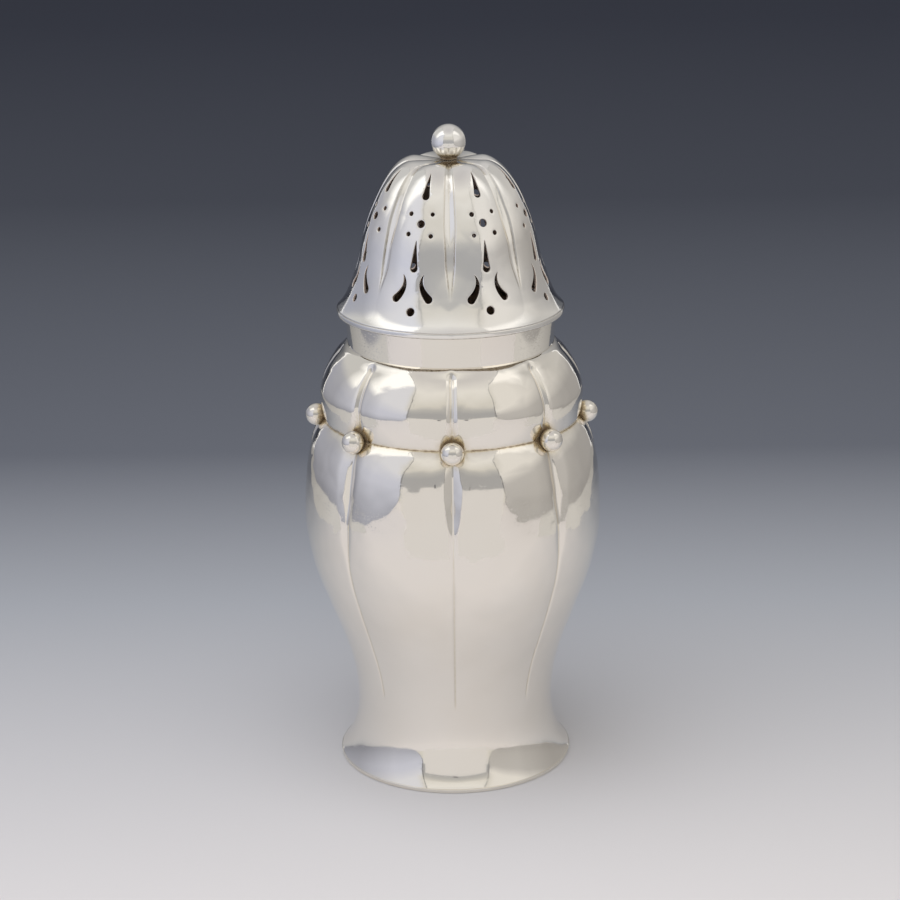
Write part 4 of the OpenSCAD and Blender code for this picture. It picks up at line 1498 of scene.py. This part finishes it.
def sheet(name, corners, material, seen=False):
    """A flat stage card through its corners; unless seen, only reflections and light meet it."""
    mesh = bpy.data.meshes.new(name)
    mesh.from_pydata(corners, [], [tuple(range(len(corners)))])
    mesh.materials.append(material)
    made = bpy.data.objects.new(name, mesh)
    bpy.context.scene.collection.objects.link(made)
    made.visible_camera = seen
    made.visible_shadow = seen
    return made


def level(name, x, y, z, material, seen=False):
    """A card that lies flat between two x and two y values."""
    corners = [(x[0], y[0], z), (x[1], y[0], z), (x[1], y[1], z), (x[0], y[1], z)]
    return sheet(name, corners, material, seen)


def upright(name, x, y, low, high, material):
    """A standing card between two x or two y values; the other is one number."""
    if isinstance(x, tuple):
        corners = [(x[0], y, low), (x[1], y, low), (x[1], y, high), (x[0], y, high)]
    else:
        corners = [(x, y[0], low), (x, y[1], low), (x, y[1], high), (x, y[0], high)]
    return sheet(name, corners, material)


def screen(name, x, grown_by, material):
    """A light screen, or its frame when grown, whose front corners are round."""
    front, rear, top = SCREEN_Y[0] - grown_by, SCREEN_Y[1], SCREEN_TOP + grown_by
    r = SCREEN_ROUND + grown_by
    turns = [math.radians(-90 - ROUND_TURN * k) for k in range(ROUND_COUNT)]
    low = [(x, front + r * (1 + math.cos(a)), r * (1 + math.sin(a))) for a in turns]
    high = [(x, y, top - z) for _, y, z in low[::-1]]
    return sheet(name, [(x, rear, 0.0)] + low + high + [(x, rear, top)], material)


def hang_lamp(scene):
    """A soft square lamp that lights the floor and isn't mirrored in the silver."""
    data = bpy.data.lights.new("overhead_softbox", "AREA")
    data.shape = "RECTANGLE"
    data.size = data.size_y = LAMP_SIZE
    data.energy = LAMP_POWER
    made = bpy.data.objects.new("overhead_softbox", data)
    scene.collection.objects.link(made)
    made.location = LAMP_AT
    made.rotation_euler = (-Vector(LAMP_AT)).to_track_quat("-Z", "Y").to_euler()
    made.visible_camera = False
    made.visible_glossy = False


def light_room(scene, studio):
    """The room: warm walls before the caster, a pale ceiling, a dark wall low behind it."""
    world = bpy.data.worlds.new("studio room")
    scene.world = world
    world.use_nodes = True
    tree = world.node_tree
    tree.nodes.clear()
    output = tree.nodes.new("ShaderNodeOutputWorld")
    sky = tree.nodes.new("ShaderNodeBackground")
    place = place_of(tree, "Generated")
    before = (studio.room, studio.room, studio.upper, studio.ceiling)
    behind = (studio.back_low, studio.back_low, studio.back_mid, studio.back_high, studio.ceiling)
    walls = mixed(tree, spread(tree, place["Y"], BEHIND_SPAN),
                  graded(tree, place["Z"], list(zip(BEFORE_PLACES, before))),
                  graded(tree, place["Z"], list(zip(BEHIND_PLACES, behind))))
    tree.links.new(walls, sky.inputs["Color"])
    tree.links.new(sky.outputs["Background"], output.inputs["Surface"])


class CASTER_OT_stage(bpy.types.Operator):
    """Sets up the floor, the light screens, the cards, the lamp, the room and the camera"""

    bl_idname = "caster.stage"
    bl_label = "Studio"

    def execute(self, context):
        scene, studio = context.scene, context.scene.caster_studio
        scene.view_settings.view_transform = "Standard"
        place_camera(scene)
        level("paper_floor", (-FLOOR_X, FLOOR_X), FLOOR_Y, 0.0, floor_material(studio), True)
        edge = card_material("screen edge", studio.screen_edge)
        dark = card_material("front gap", studio.front_gap)
        left = screen_material(
            "left screen",
            screen_tones(studio.shade_left, LEFT_SHADES, studio.mid_left, LEFT_MIDDLE),
            studio.glow_left, LEFT_GLOW, studio.room, LEFT_BACK)
        right = screen_material(
            "right screen",
            screen_tones(studio.shade_right, RIGHT_SHADES, studio.mid_right, RIGHT_MIDDLE),
            studio.glow_right, RIGHT_GLOW, studio.room, RIGHT_BACK)
        for side, word, lit, tint in ((-1, "left", left, studio.side_left),
                                      (1, "right", right, studio.side_right)):
            paper = level(f"{word}_paper", (side * SIDE_X, side * SCREEN_X), SIDE_Y, MM,
                          side_material(f"{word} paper", tint))
            paper.visible_diffuse = False
            screen(f"{word}_screen", side * SCREEN_X, 0.0, lit)
            screen(f"{word}_screen_frame", side * (SCREEN_X + MM), FRAME_W, dark)
            upright(f"{word}_screen_edge", side * (SCREEN_X - MM), EDGE_Y, 0.0, EDGE_TOP, edge)
            upright(f"{word}_front_gap", (side * FRONT_X, side * GAP_X), FRONT_Y, GAP_LOW,
                    FRONT_TOP, dark)
        upright("front_card", (-FRONT_X, FRONT_X), FRONT_Y, 0.0, FRONT_TOP,
                front_material(studio))
        upright("lens_card", (-LENS_X, LENS_X), NEAR_Y - MM, *LENS_Z, dark)
        near = upright("near_card", (-NEAR_X, NEAR_X), NEAR_Y, 0.0, NEAR_TOP,
                       card_material("near card", studio.near_card))
        near.visible_diffuse = False
        hang_lamp(scene)
        light_room(scene, studio)
        return {"FINISHED"}


# Panel and registration

STEPS = ("caster.body", "caster.body_rings", "caster.beads", "caster.lid", "caster.lid_rings",
         "caster.finial", "caster.stage")


class CASTER_PT_pieces(bpy.types.Panel):
    """The caster's settings and the buttons that build it"""

    bl_idname = "CASTER_PT_pieces"
    bl_label = "Sugar caster"
    bl_space_type = "VIEW_3D"
    bl_region_type = "UI"
    bl_category = "Caster"

    def draw(self, context):
        for step in STEPS:
            self.layout.operator(step)
        for settings in sizes_of(context):
            box = self.layout.box()
            for name in settings.__annotations__:
                box.prop(settings, name)


CLASSES = (CasterBodySizes, CasterLidSizes, CasterFinish, CasterStudio, CASTER_OT_body,
           CASTER_OT_body_rings, CASTER_OT_beads, CASTER_OT_lid, CASTER_OT_lid_rings,
           CASTER_OT_finial, CASTER_OT_stage, CASTER_PT_pieces)
SETTINGS = {"caster_body": CasterBodySizes, "caster_lid": CasterLidSizes,
            "caster_finish": CasterFinish, "caster_studio": CasterStudio}


def register():
    for cls in CLASSES:
        bpy.utils.register_class(cls)
    for name, cls in SETTINGS.items():
        setattr(bpy.types.Scene, name, PointerProperty(type=cls))


def unregister():
    for name in SETTINGS:
        delattr(bpy.types.Scene, name)
    for cls in reversed(CLASSES):
        bpy.utils.unregister_class(cls)


def main():
    """Builds every piece and the studio."""
    register()
    bpy.ops.caster.body()
    bpy.ops.caster.body_rings()
    bpy.ops.caster.beads()
    bpy.ops.caster.lid()
    bpy.ops.caster.lid_rings()
    bpy.ops.caster.finial()
    bpy.ops.caster.stage()


if __name__ == "__main__":
    main()
